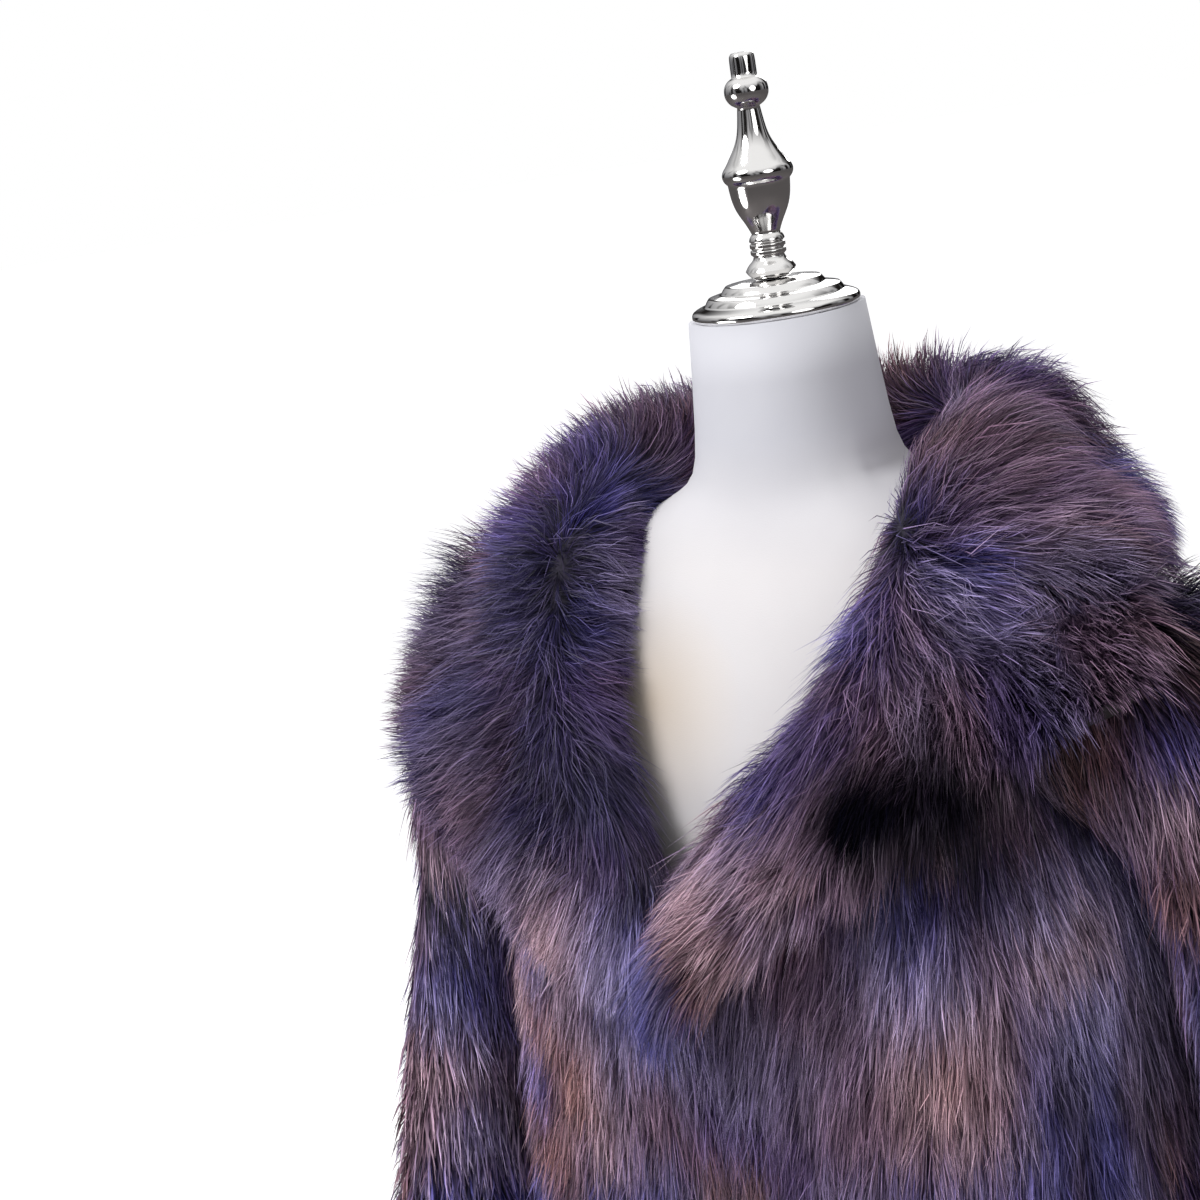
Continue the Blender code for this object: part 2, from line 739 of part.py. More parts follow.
def lift_facets(grid, support):
    """Raises the corners of each facet whose middle would dip into the body's fur."""
    rows, count = grid.shape[:2]
    for _ in range(FACET_ROUNDS):
        raised = np.zeros((rows, count, 1))
        for r in range(rows - 1):
            for c in range(2, count):
                for left in (0, 1):
                    corners = (slice(r, r + 2), slice(c - left, c + 1))
                    point = Vector(grid[corners].reshape(-1, 3).mean(0))
                    low = outermost(support, point, COLLAR_CLEARANCE)
                    dip = (low - point).dot(away_from_core(point))
                    raised[corners] = np.maximum(raised[corners], dip)
        away = [[away_from_core(Vector(p)) for p in row] for row in grid]
        grid = grid + raised * np.array(away)
    return grid


def fold_curve(start, out, rise, stand, fall, walk):
    """One section of the collar's leather: up from the neckline, over the fold and down on the body."""
    points = [start + (out * turn.across + rise * turn.up) * stand for turn in FOLD]
    for distance in np.linspace(max(FOLD_LENGTH * stand, LEAST_FOLD), fall, FALL_POINTS):
        points.append(walk(distance))
    return along(points, COLLAR_COLUMNS)


def collar_grids(stops, support, form):
    """Leather and fur points of the whole collar: a row for each stop, from the neckline over the fold."""
    edge = np.array([s.fur for s in stops])
    leather_edge = np.array([s.leather for s in stops])
    gone = np.append(0, np.cumsum(np.linalg.norm(np.diff(edge, axis=0), axis=1)))
    share = np.abs(2 * gone / gone[-1] - 1)
    in_front = edge[:, 1] < LAPEL_FRONT
    opening = np.abs(edge[:, 0] - smooth(NECKLINE, "middle", edge[:, 2]))
    narrow = np.where(in_front, ease(opening, 0, LAPEL_WIDTH), 1)
    inwards = [Vector(s.inward).normalized() for s in stops]
    smooth_inwards = even_out(inwards, EVEN_PASSES)
    smooth_normals = even_out([Vector(s.fur - s.leather).normalized() for s in stops], EVEN_PASSES)
    tangents = np.gradient(even_out(edge, EVEN_PASSES), axis=0)
    leather, base_fur = [], []
    for i in range(len(stops)):
        tangent = Vector(tangents[i]).normalized()
        rise = Vector(smooth_normals[i]).normalized() + Vector((0, 0, RISE_UPWARD))
        rise = (rise - tangent * rise.dot(tangent)).normalized()
        rise = away_from_core(Vector(edge[i])).lerp(rise, narrow[i])
        out = tangent.cross(rise)
        if out.dot(Vector(smooth_inwards[i])) > 0:
            out = -out
        half = "left" if gone[i] < gone[-1] / 2 else "right"
        stand, fall, turn = (
            float(smooth(COLLAR, f, share[i])) for f in ("stand", "fall_" + half, "turn_" + half)
        )
        turn = math.radians(turn)
        heading = out * math.cos(turn) + Vector((0, 0, -1)) * math.sin(turn)
        walk = slide(support, Vector(edge[i]), heading, fall)
        start = Vector(edge[i]) + inwards[i] * 2 * SEAM_GAP
        leather.append(fold_curve(start, out, rise, stand, fall, walk))
        low = Vector(leather_edge[i]) + inwards[i] * 2 * SEAM_GAP
        low = low.lerp(start + away_from_core(start) * STAND_FUR, 1 - narrow[i])
        room = STAND_FUR * narrow[i]
        while room > NARROWING_STEP and not clear_of(form, low - out * room):
            room -= NARROWING_STEP
        base_fur.append(low - out * room)
    leather = np.array(leather)
    leather[0] = leather[-1] = (leather[0] + leather[-1]) / 2
    leather = lift_facets(drape(leather, support), support)
    (normals,) = grid_normals([(leather, False)])
    away = np.array([[away_from_core(Vector(p)) for p in row] for row in leather])
    normals = away + (normals - away) * narrow[:, None, None]
    normals[0] = normals[-1] = normals[0] + normals[-1]
    normals = even_out(normals, 2)
    normals /= np.linalg.norm(normals, axis=-1, keepdims=True)
    step = np.linspace(0, 1, COLLAR_COLUMNS)
    depth = STAND_FUR + (COLLAR_FUR - STAND_FUR) * ease(step, *FUR_GROWS)
    depth = depth * (1 - RIM_SHORTER * ease(step, RIM_STARTS, 1.0))
    lapel = 1 - TIP_SHORTER * ease(share, TIP_STARTS, 1.0)
    fur = leather + normals * depth[None, :, None] * lapel[:, None, None]
    fur[:, 0] = base_fur
    way = leather[:, -1] - leather[:, -2]
    fur[:, -1] += COLLAR_HAIR * way / np.linalg.norm(way, axis=-1, keepdims=True)
    fur[:, 1:] = even_out(fur, 3)[:, 1:]
    fur[:, 1:-1] = even_out(fur.swapaxes(0, 1), 2).swapaxes(0, 1)[:, 1:-1]
    for row in fur:
        for k in range(1, len(row)):
            while not clear_of(form, Vector(row[k])):
                row[k] = row[k] + (row[k] * [1, 1, 0]) * CLEARING_STEP
    for grid in (leather, fur):
        grid[0] = grid[-1] = (grid[0] + grid[-1]) / 2
    return leather, fur


def clear_of(form, point):
    """Whether a point is outside the form and not right on it."""
    near, facing, _, gap = form.find_nearest(point)
    return gap > FORM_CLEARANCE and (point - near).dot(facing) > 0


# ---------------------------------------------------------------- the object


def clear_scene():
    for found in list(bpy.data.objects):
        bpy.data.objects.remove(found)


def build_coat(material):
    """The five body pieces. Returns the leather and fur points of each, and the surface that they make."""
    grids = {
        "front_left": panel(front_edge(+1), side_edge(+1, False), columns(FRONT_COLUMNS)),
        "front_right": panel(front_edge(-1), side_edge(-1, False), columns(FRONT_COLUMNS)),
        "back": panel(
            side_edge(+1, True),
            360 + side_edge(-1, True),
            columns(BACK_COLUMNS, FINER_BACK_ENDS),
        ),
        "sleeve_left": sleeve_grid(+1),
        "sleeve_right": sleeve_grid(-1),
    }
    wraps = {name: name.startswith("sleeve") for name in grids}
    directions = grid_normals([(grids[n], wraps[n]) for n in grids])
    walls, whole = {}, {}
    for (name, leather), normal in zip(grids.items(), directions):
        if wraps[name]:
            turn = np.linspace(0, 2 * math.pi, leather.shape[1] + 1)[:-1]
            own = ease(np.arange(len(leather)), 0, 4)[:, None]
            depth = body_fur(leather) * (1 - own) + sleeve_fur(leather, turn) * own
        else:
            depth = body_fur(leather)
        fur = leather + normal * depth[..., None]
        hem = -1 if wraps[name] else 0
        fur[hem, :, 2] -= HEM_HAIR
        whole[name] = fur
        leather, fur = (short_of_seams(grid, wraps[name]) for grid in (leather, fur))
        add_wall("coat_" + name, leather, fur, wraps[name], material)
        walls[name] = (leather, fur)
    return walls, fur_tree(whole)


def fur_tree(whole):
    """The outer faces of the body pieces without their seam gaps, for the collar to lie on."""
    points, faces = [], []
    for name, fur in whole.items():
        rows, count = fur.shape[:2]
        spans = count if name.startswith("sleeve") else count - 1
        shift = len(points)
        points += [Vector(p) for p in fur.reshape(-1, 3)]
        for r in range(rows - 1):
            for c in range(spans):
                a, b = shift + r * count + c, shift + r * count + (c + 1) % count
                faces += split([a, b, b + count, a + count], points)
    return BVHTree.FromPolygons(points, faces)


def build_collar(walls, support, form, material):
    """The shawl collar, in two halves that meet at the centre back."""
    made = bpy.data.objects[form].data
    form_tree = BVHTree.FromPolygons(
        [v.co for v in made.vertices], [tuple(f.vertices) for f in made.polygons]
    )
    leather, fur = collar_grids(neckline_stops(walls), support, form_tree)
    half = len(leather) // 2
    for name, rows in (("left", slice(0, half + 1)), ("right", slice(half, None))):
        inner, outer = (short_of_seams(grid[rows], False) for grid in (leather, fur))
        add_wall("coat_collar_" + name, inner, outer, False, material)


def build_form(cloth, chrome):
    """The dress form and its stand."""
    tops = [row.height for row in FORM]
    between = [(low + high) / 2 for low, high in zip(tops[:HIP_RINGS], tops[1:])]
    turn = np.linspace(0, 360, FORM_SEGMENTS + 1)[:-1]
    rings = [
        ring_point(FORM, np.full(len(turn), z), turn) for z in sorted(tops + between)
    ]
    low = rings[0] * [FORM_LID_SHARE, FORM_LID_SHARE, 1] - [0, 0, FORM_LID_DEPTH]
    rings = [low, *rings]
    faces = []
    for ring in range(len(rings) - 1):
        for i in range(FORM_SEGMENTS):
            a = ring * FORM_SEGMENTS + i
            b = ring * FORM_SEGMENTS + (i + 1) % FORM_SEGMENTS
            faces.append([a, b, b + FORM_SEGMENTS, a + FORM_SEGMENTS])
    faces.append(list(reversed(range(FORM_SEGMENTS))))
    faces.append(list(range((len(rings) - 1) * FORM_SEGMENTS, len(rings) * FORM_SEGMENTS)))
    add_object("form_torso", np.concatenate(rings), faces, cloth)
    pole_top = FORM_BOTTOM - FORM_LID_DEPTH - PART_GAP
    pole = [(POLE_RADIUS, FOOT_HEIGHT + PART_GAP), (POLE_RADIUS, pole_top)]
    add_turned("form_pole", pole, SLIM_SEGMENTS, chrome)
    add_turned("form_foot", FOOT, TURNED_SEGMENTS, chrome)
    cap = [(r, NECK_TOP + PART_GAP + z) for r, z in NECK_CAP]
    add_turned("form_neck_cap", cap, TURNED_SEGMENTS, chrome)
    finial = [(r, cap[-1][1] + PART_GAP + z) for r, z in FINIAL]
    add_turned("form_finial", finial, SLIM_SEGMENTS, chrome)


clear_scene()
FUR = surface("fur", (0.10, 0.07, 0.14), 0.7)
CLOTH = surface("form_cloth", (0.85, 0.85, 0.87), 0.6)
CHROME = surface("chrome", (0.75, 0.75, 0.76), 0.12, 1.0)
build_form(CLOTH, CHROME)
WALLS, FUR_SURFACE = build_coat(FUR)
build_collar(WALLS, FUR_SURFACE, "form_torso", FUR)
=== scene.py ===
# %% [markdown]
# # A long-haired fur coat on a dress form
#
# The solids of the coat, the form and the stand are already made. They come in here as a fixed frame, and
# this file gives them their looks: hair that grows from the skins, polished metal, and smooth cloth.
# Each step is told first in a few sentences, and then made in short cells.

# %% Load the solids
import math
from collections import namedtuple

import bmesh
import bpy
import numpy as np
from mathutils import Matrix, Vector, noise
from mathutils.bvhtree import BVHTree
from mathutils.kdtree import KDTree


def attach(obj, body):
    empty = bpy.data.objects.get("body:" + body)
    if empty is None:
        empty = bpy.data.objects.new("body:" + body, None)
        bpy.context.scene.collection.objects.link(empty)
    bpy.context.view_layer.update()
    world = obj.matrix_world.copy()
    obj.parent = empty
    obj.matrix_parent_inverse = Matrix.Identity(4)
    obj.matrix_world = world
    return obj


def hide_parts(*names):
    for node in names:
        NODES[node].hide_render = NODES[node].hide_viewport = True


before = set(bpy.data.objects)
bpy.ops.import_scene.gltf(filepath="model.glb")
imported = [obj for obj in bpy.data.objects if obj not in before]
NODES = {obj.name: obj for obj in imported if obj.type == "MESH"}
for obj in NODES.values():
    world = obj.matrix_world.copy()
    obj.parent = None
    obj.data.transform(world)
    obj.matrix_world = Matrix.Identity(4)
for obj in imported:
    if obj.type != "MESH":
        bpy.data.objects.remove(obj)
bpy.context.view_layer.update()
scene = bpy.context.scene
print("solids:", ", ".join(sorted(NODES)))

# %% [markdown]
# ## The camera
#
# A close-up of a garment is taken with a fairly long lens, so that the collar doesn't look bigger than the
# shoulders behind it. The camera stands a little above the neck and to the wearer's left, looks down on the
# V of the neckline, and leans to one side. Its three axes are worked out from those angles, because they
# are needed again later, when places on the fur are found by looking at them.

# %% Stand the camera
EYE_AWAY = 1.45
EYE_AROUND = math.radians(32)
EYE_HEIGHT = 1.70
YAW = math.radians(-37.439)
PITCH = math.radians(13.451)
LEAN = math.radians(-9.178)
LENS_MM = 69.627
SENSOR_MM = 36.0
FRAME_SIDE = 1200
FARTHEST_SEEN = 60
FOCAL = LENS_MM / SENSOR_MM * FRAME_SIDE
EYE = Vector((EYE_AWAY * math.sin(EYE_AROUND), -EYE_AWAY * math.cos(EYE_AROUND), EYE_HEIGHT))

AHEAD = Vector((math.sin(YAW) * math.cos(PITCH), math.cos(YAW) * math.cos(PITCH), -math.sin(PITCH)))
level_right = AHEAD.cross(Vector((0, 0, 1))).normalized()
level_up = level_right.cross(AHEAD)
RIGHT = math.cos(LEAN) * level_right + math.sin(LEAN) * level_up
UP = math.cos(LEAN) * level_up - math.sin(LEAN) * level_right

camera = bpy.data.objects.new("camera", bpy.data.cameras.new("camera"))
scene.collection.objects.link(camera)
camera.matrix_world = Matrix((
    (RIGHT.x, UP.x, -AHEAD.x, EYE.x),
    (RIGHT.y, UP.y, -AHEAD.y, EYE.y),
    (RIGHT.z, UP.z, -AHEAD.z, EYE.z),
    (0, 0, 0, 1)))
camera.data.lens = LENS_MM
camera.data.sensor_width = SENSOR_MM
camera.data.clip_end = FARTHEST_SEEN
scene.camera = camera
print("camera at", tuple(round(c, 3) for c in EYE))

# %% [markdown]
# ## The studio
#
# Fur drinks light, so it is shown in a bright, plain room: a wide pale floor, a large soft light above and in
# front, and weaker ones from the side, from behind and from below. Polished metal shows only what is around
# it, so the sky of the studio isn't one flat white: it is bright above, goes grey towards the horizon, and
# has dark panels on its walls. Node trees are long to write, so a few helpers come first.

# %% Write the helpers for meshes, materials and nodes
WHITE = (1, 1, 1, 1)


def mesh_object(name, points, faces):
    mesh = bpy.data.meshes.new(name)
    mesh.from_pydata([tuple(p) for p in points], [], [tuple(f) for f in faces])
    mesh.update()
    made = bpy.data.objects.new(name, mesh)
    scene.collection.objects.link(made)
    return made


def plain_material(name, colour, roughness, metallic=0.0):
    """A material of one colour, with its node tree and its shader."""
    made = bpy.data.materials.new(name)
    made.use_nodes = True
    shader = made.node_tree.nodes["Principled BSDF"]
    fill(shader, {"Base Color": (*colour, 1), "Roughness": roughness, "Metallic": metallic})
    return made, made.node_tree, shader


def fill(node, inputs):
    """Set a node's inputs to values, or join them to other nodes' outputs."""
    for key, value in dict(inputs).items():
        if isinstance(value, bpy.types.NodeSocket):
            node.id_data.links.new(value, node.inputs[key])
        else:
            node.inputs[key].default_value = value


def add(tree, kind, inputs=(), **settings):
    """A new node with its settings and its inputs."""
    node = tree.nodes.new(kind)
    for key, value in settings.items():
        setattr(node, key, value)
    fill(node, inputs)
    return node


def number(tree, operation, *values):
    return add(tree, "ShaderNodeMath", dict(enumerate(values)), operation=operation).outputs[0]


def remap(tree, value, low, high, to_low=0.0, to_high=1.0):
    """The value, moved from one range to another and kept inside it."""
    return add(tree, "ShaderNodeMapRange", {"Value": value, "From Min": low, "From Max": high,
                                            "To Min": to_low, "To Max": to_high}).outputs["Result"]


def blend(tree, share, first, second, **settings):
    """The first colour, which goes over to the second as the share rises."""
    inputs = {0: share, 6: first, 7: second}
    return add(tree, "ShaderNodeMix", inputs, data_type="RGBA", **settings).outputs[2]


def ramp(tree, factor, stops):
    """A colour ramp from (place, colour) stops."""
    node = add(tree, "ShaderNodeValToRGB", {"Fac": factor})
    while len(node.color_ramp.elements) < len(stops):
        node.color_ramp.elements.new(0.5)
    for element, (place, colour) in zip(node.color_ramp.elements, stops):
        element.position = place
        element.color = (*colour, 1)
    return node.outputs["Color"]


def stretched(tree, place, scale):
    return add(tree, "ShaderNodeMapping", {"Vector": place, "Scale": scale}).outputs[0]


def noise_at(tree, place, scale, detail):
    return add(tree, "ShaderNodeTexNoise", {"Vector": place, "Scale": scale, "Detail": detail}).outputs["Fac"]


print("helpers for meshes, materials and nodes")

# %% Lay the floor
FLOOR_RADIUS = 30.0
FLOOR_SIDES = 96
FLOOR_COLOUR = (0.62, 0.62, 0.63)
FLOOR_IN_METAL = (0.10, 0.09, 0.09)
FLOOR_ROUGHNESS = 0.9
FLOOR_GLOW = 0.62


def lit_floor_material():
    """A pale floor that glows a little, so that it runs into the white backdrop, and is dark in the metal."""
    made, tree, shader = plain_material("studio floor", FLOOR_COLOUR, FLOOR_ROUGHNESS)
    ray = add(tree, "ShaderNodeLightPath").outputs
    fill(shader, {
        "Emission Color": WHITE,
        "Emission Strength": number(tree, "MULTIPLY", ray["Is Camera Ray"], FLOOR_GLOW),
        "Base Color": blend(tree, ray["Is Glossy Ray"], (*FLOOR_COLOUR, 1), (*FLOOR_IN_METAL, 1)),
    })
    return made


turns = [2 * math.pi * i / FLOOR_SIDES for i in range(FLOOR_SIDES)]
ring = [(FLOOR_RADIUS * math.cos(turn), FLOOR_RADIUS * math.sin(turn), 0) for turn in turns]
floor = mesh_object("studio_floor", ring, [range(FLOOR_SIDES)])
floor.data.materials.append(lit_floor_material())
print("floor of", FLOOR_RADIUS, "m")

# %% Hang the lights
Lamp = namedtuple("Lamp", "name place target size watts")
LAMPS = (
    Lamp("key_light", (-1.1, -2.0, 3.5), (0.05, -0.05, 1.25), 1.6, 68),
    Lamp("side_light", (2.9, -1.2, 2.4), (0.1, 0, 1.2), 1.8, 20),
    Lamp("rear_light", (-1.2, 2.8, 2.8), (0, 0, 1.3), 2.0, 30),
    Lamp("low_light", (-1.7, -1.8, 0.7), (-0.1, -0.1, 0.95), 1.4, 14),
)
for lamp in LAMPS:
    light = bpy.data.lights.new(lamp.name, "AREA")
    light.shape = "DISK"
    light.size = lamp.size
    light.energy = lamp.watts
    hung = bpy.data.objects.new(lamp.name, light)
    scene.collection.objects.link(hung)
    hung.location = lamp.place
    hung.rotation_euler = (Vector(lamp.target) - Vector(lamp.place)).to_track_quat("-Z", "Y").to_euler()
print(len(LAMPS), "soft lights")

# %% Paint the sky
SKY = ((0.40, (0.10, 0.10, 0.11)), (0.50, (0.16, 0.16, 0.17)),
       (0.70, (0.50, 0.50, 0.51)), (0.9, (1.0, 1.0, 1.0)))
PANELS = ((0.47, (0.03, 0.027, 0.025)), (0.56, (1.0, 1.0, 1.0)))
PANEL_STRETCH = (1, 1, 0.3)
PANEL_SCALE = 2.4
PANELS_START, PANELS_FULL = 0.75, 0.35

world = bpy.data.worlds.new("studio")
scene.world = world
world.use_nodes = True
sky = world.node_tree
sky.nodes.clear()
direction = add(sky, "ShaderNodeTexCoord").outputs["Generated"]
height = add(sky, "ShaderNodeSeparateXYZ", {0: direction}).outputs["Z"]
glow = ramp(sky, remap(sky, height, -1.0, 1.0), SKY)
panels = ramp(sky, noise_at(sky, stretched(sky, direction, PANEL_STRETCH), PANEL_SCALE, 1.0), PANELS)
walls = blend(sky, remap(sky, height, PANELS_START, PANELS_FULL), WHITE, panels)
glow = blend(sky, 1.0, glow, walls, blend_type="MULTIPLY")
room = add(sky, "ShaderNodeBackground", {"Color": glow, "Strength": 1.0}).outputs[0]
backdrop = add(sky, "ShaderNodeBackground", {"Color": WHITE, "Strength": 1.0}).outputs[0]
seen = add(sky, "ShaderNodeLightPath").outputs["Is Camera Ray"]
both = add(sky, "ShaderNodeMixShader", {0: seen, 1: room, 2: backdrop}).outputs[0]
add(sky, "ShaderNodeOutputWorld", {"Surface": both})
scene.view_settings.view_transform = "Standard"
print("sky of", len(sky.nodes), "nodes")

# %% [markdown]
# ## The form's own finishes
#
# The cap, the finial, the pole and the foot are turned metal with a bright plated finish: a mirror, with a
# faint haze and hairline marks that run round it. The torso is a padded form under smooth white jersey. Its
# knit is too fine to see as loops, so it is a very small bump. The neck is painted a darker, cooler white
# than the chest, as painted shade, and the chest has a painted warm cast of reflected light in one place.

# %% Mix the chrome and the jersey
CHROME = (0.83, 0.82, 0.81)
CHROME_ROUGHNESS = 0.07
HAZE_SCALE = 38.0
HAZE_FROM, HAZE_TO = 0.3, 0.7
HAZE_ROUGHNESS = (0.045, 0.13)
HAIRLINES = (14, 14, 900)
HAIRLINE_BUMP = (0.02, 0.0002)
JERSEY = (0.72, 0.72, 0.76)
JERSEY_ROUGHNESS = 0.62
# the neck's jersey is painted darker and cooler than the chest's, as painted shade
NECK_JERSEY_IN_SHADE = ((0.35, (0.57, 0.57, 0.62)), (0.62, (0.61, 0.61, 0.655)))
CHEST_JERSEY_IN_LIGHT = ((0.35, (0.69, 0.665, 0.675)), (0.62, (0.73, 0.705, 0.71)))
KNIT_ROWS = (1, 1, 1.6)
KNIT_SCALE = 900.0
KNIT_BUMP = (0.12, 0.0003)
WEAR_SCALE = 7.0
NECK_FROM, CHEST_TO = 1.45, 1.37
# a painted warm cast of reflected light on the chest, in one place
WARM_CAST = (0.72, 0.60, 0.47)
WARM_CAST_AT = (-0.076, -0.093, 1.290)
WARM_CAST_REACH = 0.075
WARM_CAST_SHARE = 0.8


def place_on(tree):
    return add(tree, "ShaderNodeTexCoord").outputs["Object"]


def bump(tree, height, strength, distance):
    """A normal that is tilted as if the surface rose and fell by the height."""
    inputs = {"Strength": strength, "Distance": distance, "Height": height}
    return add(tree, "ShaderNodeBump", inputs).outputs[0]


def chrome_material():
    made, tree, shader = plain_material("polished chrome", CHROME, CHROME_ROUGHNESS, 1.0)
    place = place_on(tree)
    marks = noise_at(tree, stretched(tree, place, HAIRLINES), 1.0, 3.0)
    haze = noise_at(tree, place, HAZE_SCALE, 2.0)
    fill(shader, {"Roughness": remap(tree, haze, HAZE_FROM, HAZE_TO, *HAZE_ROUGHNESS),
                  "Normal": bump(tree, marks, *HAIRLINE_BUMP)})
    return made


def jersey_material():
    made, tree, shader = plain_material("white jersey", JERSEY, JERSEY_ROUGHNESS)
    place = place_on(tree)
    rows = stretched(tree, place, KNIT_ROWS)
    knit = add(tree, "ShaderNodeTexVoronoi", {"Vector": rows, "Scale": KNIT_SCALE}).outputs["Distance"]
    wear = noise_at(tree, place, WEAR_SCALE, 3.0)
    up = add(tree, "ShaderNodeSeparateXYZ", {0: place}).outputs["Z"]
    # painted shade: a darker, cooler neck that goes over to the lit chest lower down
    chest_in_light = remap(tree, up, NECK_FROM, CHEST_TO)
    colour = blend(tree, chest_in_light, ramp(tree, wear, NECK_JERSEY_IN_SHADE), ramp(tree, wear, CHEST_JERSEY_IN_LIGHT))
    # a painted warm cast of reflected light on the lower chest
    off = add(tree, "ShaderNodeVectorMath", {0: place, 1: WARM_CAST_AT}, operation="DISTANCE").outputs["Value"]
    warm_cast = remap(tree, off, WARM_CAST_REACH, 0.0, 0.0, WARM_CAST_SHARE)
    fill(shader, {"Base Color": blend(tree, warm_cast, colour, (*WARM_CAST, 1)),
                  "Normal": bump(tree, knit, *KNIT_BUMP)})
    return made


chrome = chrome_material()
jersey = jersey_material()
print("finishes:", chrome.name, "and", jersey.name)

# %% Round the pieces of the form
Finish = namedtuple("Finish", "material slot levels")
FORM_FINISHES = {
    "form_neck_cap": Finish(chrome, "chrome", 2),
    "form_finial": Finish(chrome, "chrome", 2),
    "form_pole": Finish(chrome, "chrome", 2),
    "form_foot": Finish(chrome, "chrome", 1),
    "form_torso": Finish(jersey, "form_cloth", 1),
}
CREASE_ANGLE = math.radians(38)
JOIN_ANGLE = math.radians(12)
MERGE = 1e-5


def rounded_copy(name, finish):
    """The node's mesh, merged, joined to four-sided faces and subdivided, with its true edges kept."""
    body = bmesh.new()
    body.from_mesh(NODES[name].data)
    bmesh.ops.remove_doubles(body, verts=body.verts, dist=MERGE)
    bmesh.ops.join_triangles(body, faces=body.faces, angle_face_threshold=JOIN_ANGLE,
                             angle_shape_threshold=math.pi)
    body.normal_update()
    crease = body.edges.layers.float.new("crease_edge")
    for edge in body.edges:
        if edge.calc_face_angle(0) > CREASE_ANGLE:
            edge[crease] = 1.0
    made = mesh_object(name + "_finished", [], [])
    body.to_mesh(made.data)
    body.free()
    made.data.materials.append(finish.material)
    made.data.shade_smooth()
    made.data.set_sharp_from_angle(angle=CREASE_ANGLE)
    smooth = made.modifiers.new("smooth", "SUBSURF")
    smooth.levels = smooth.render_levels = finish.levels
    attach(made, "root")
    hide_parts(name)


for name, finish in FORM_FINISHES.items():
    rounded_copy(name, finish)
print("finished:", ", ".join(FORM_FINISHES))

# %% [markdown]
# ## The skins
#
# Each cut piece of the coat is a solid wall whose outer face is where the tips of the hair end. Real fur is
# a thin skin with a dense, dark undercoat, so the piece that stands for it here is thinner: its outer face
# is drawn in most of the way to the leather side. The outer face is found by walking over the faces of the
# wall and stopping at sharp edges; of the parts found this way the largest is the outer one, and the next
# largest is the leather.

# %% Split a wall into its hair side and its leather side
SHARP = math.radians(50)

Skin = namedtuple("Skin", "points faces hair_side thickness outer")


def walked_parts(body):
    """Groups of faces that a sharp edge doesn't part, largest area first."""
    seen_faces = set()
    parts = []
    for start in body.faces:
        if start in seen_faces:
            continue
        seen_faces.add(start)
        waiting = [start]
        part = []
        while waiting:
            face = waiting.pop()
            part.append(face)
            for edge in face.edges:
                if edge.calc_face_angle(0) > SHARP:
                    continue
                for other in edge.link_faces:
                    if other not in seen_faces:
                        seen_faces.add(other)
                        waiting.append(other)
        parts.append(part)
    return sorted(parts, key=lambda part: -sum(face.calc_area() for face in part))


def corners(face):
    return tuple(v.index for v in face.verts)


def read_skin(node):
    body = bmesh.new()
    body.from_mesh(node.data)
    bmesh.ops.remove_doubles(body, verts=body.verts, dist=MERGE)
    body.normal_update()
    hair_faces, leather_faces = walked_parts(body)[:2]
    points = np.array([v.co for v in body.verts])
    faces = [corners(face) for face in body.faces]
    hair_side = {face.index for face in hair_faces}
    leather = BVHTree.FromPolygons([v.co.copy() for v in body.verts],
                                   [corners(face) for face in leather_faces])
    outer = np.zeros(len(points), bool)
    outer[[i for face in hair_faces for i in corners(face)]] = True
    inward = np.zeros_like(points)
    for i in np.flatnonzero(outer):
        nearest = leather.find_nearest(Vector(points[i]))[0]
        inward[i] = np.array(nearest) - points[i]
    body.free()
    return Skin(points, faces, hair_side, inward, outer)


SKINS = {name: read_skin(NODES[name]) for name in sorted(NODES) if name.startswith("coat")}
for name, skin in SKINS.items():
    depth = np.linalg.norm(skin.thickness[skin.outer], axis=1) * 1000
    print(f"{name}: {len(skin.faces)} faces, {len(skin.hair_side)} on the hair side,",
          f"wall {depth.min():.1f} to {depth.max():.1f} mm, mean {depth.mean():.1f}")

# %% [markdown]
# ## The skin pieces
#
# The thin skin is the same closed wall with its hair side drawn in, so it still has a hair side, a leather
# side and real edges at the hem, the cuffs and the neckline. The hair side is covered by a short, dark
# undercoat with a streaky look, whose navy is partly its own colour and partly painted shade deep in the fur,
# and the leather side is suede with a fine grain.

# %% Make the undercoat and the suede
# the undercoat's dark navy is partly its own colour and partly painted shade deep in the fur
SHADED_UNDERCOAT = ((0.35, (0.006, 0.005, 0.012)), (0.75, (0.030, 0.022, 0.050)))
UNDERCOAT_ROUGHNESS = 0.9
UNDERCOAT_STREAKS = (420, 420, 40)
UNDERCOAT_BUMP = (0.6, 0.002)
SUEDE = ((0.3, (0.018, 0.014, 0.017)), (0.7, (0.036, 0.028, 0.031)))
SUEDE_ROUGHNESS = 0.95
SUEDE_GRAIN = 260.0
SUEDE_CLOUDS = 9.0
SUEDE_BUMP = (0.35, 0.0008)


def shaded_undercoat_material():
    made, tree, shader = plain_material("undercoat", SHADED_UNDERCOAT[0][1], UNDERCOAT_ROUGHNESS)
    streak = noise_at(tree, stretched(tree, place_on(tree), UNDERCOAT_STREAKS), 1.0, 4.0)
    fill(shader, {"Base Color": ramp(tree, streak, SHADED_UNDERCOAT), "Normal": bump(tree, streak, *UNDERCOAT_BUMP)})
    return made


def suede_material():
    made, tree, shader = plain_material("suede", SUEDE[0][1], SUEDE_ROUGHNESS)
    place = place_on(tree)
    cloud = noise_at(tree, place, SUEDE_CLOUDS, 2.0)
    grain = noise_at(tree, place, SUEDE_GRAIN, 5.0)
    fill(shader, {"Base Color": ramp(tree, cloud, SUEDE), "Normal": bump(tree, grain, *SUEDE_BUMP)})
    return made


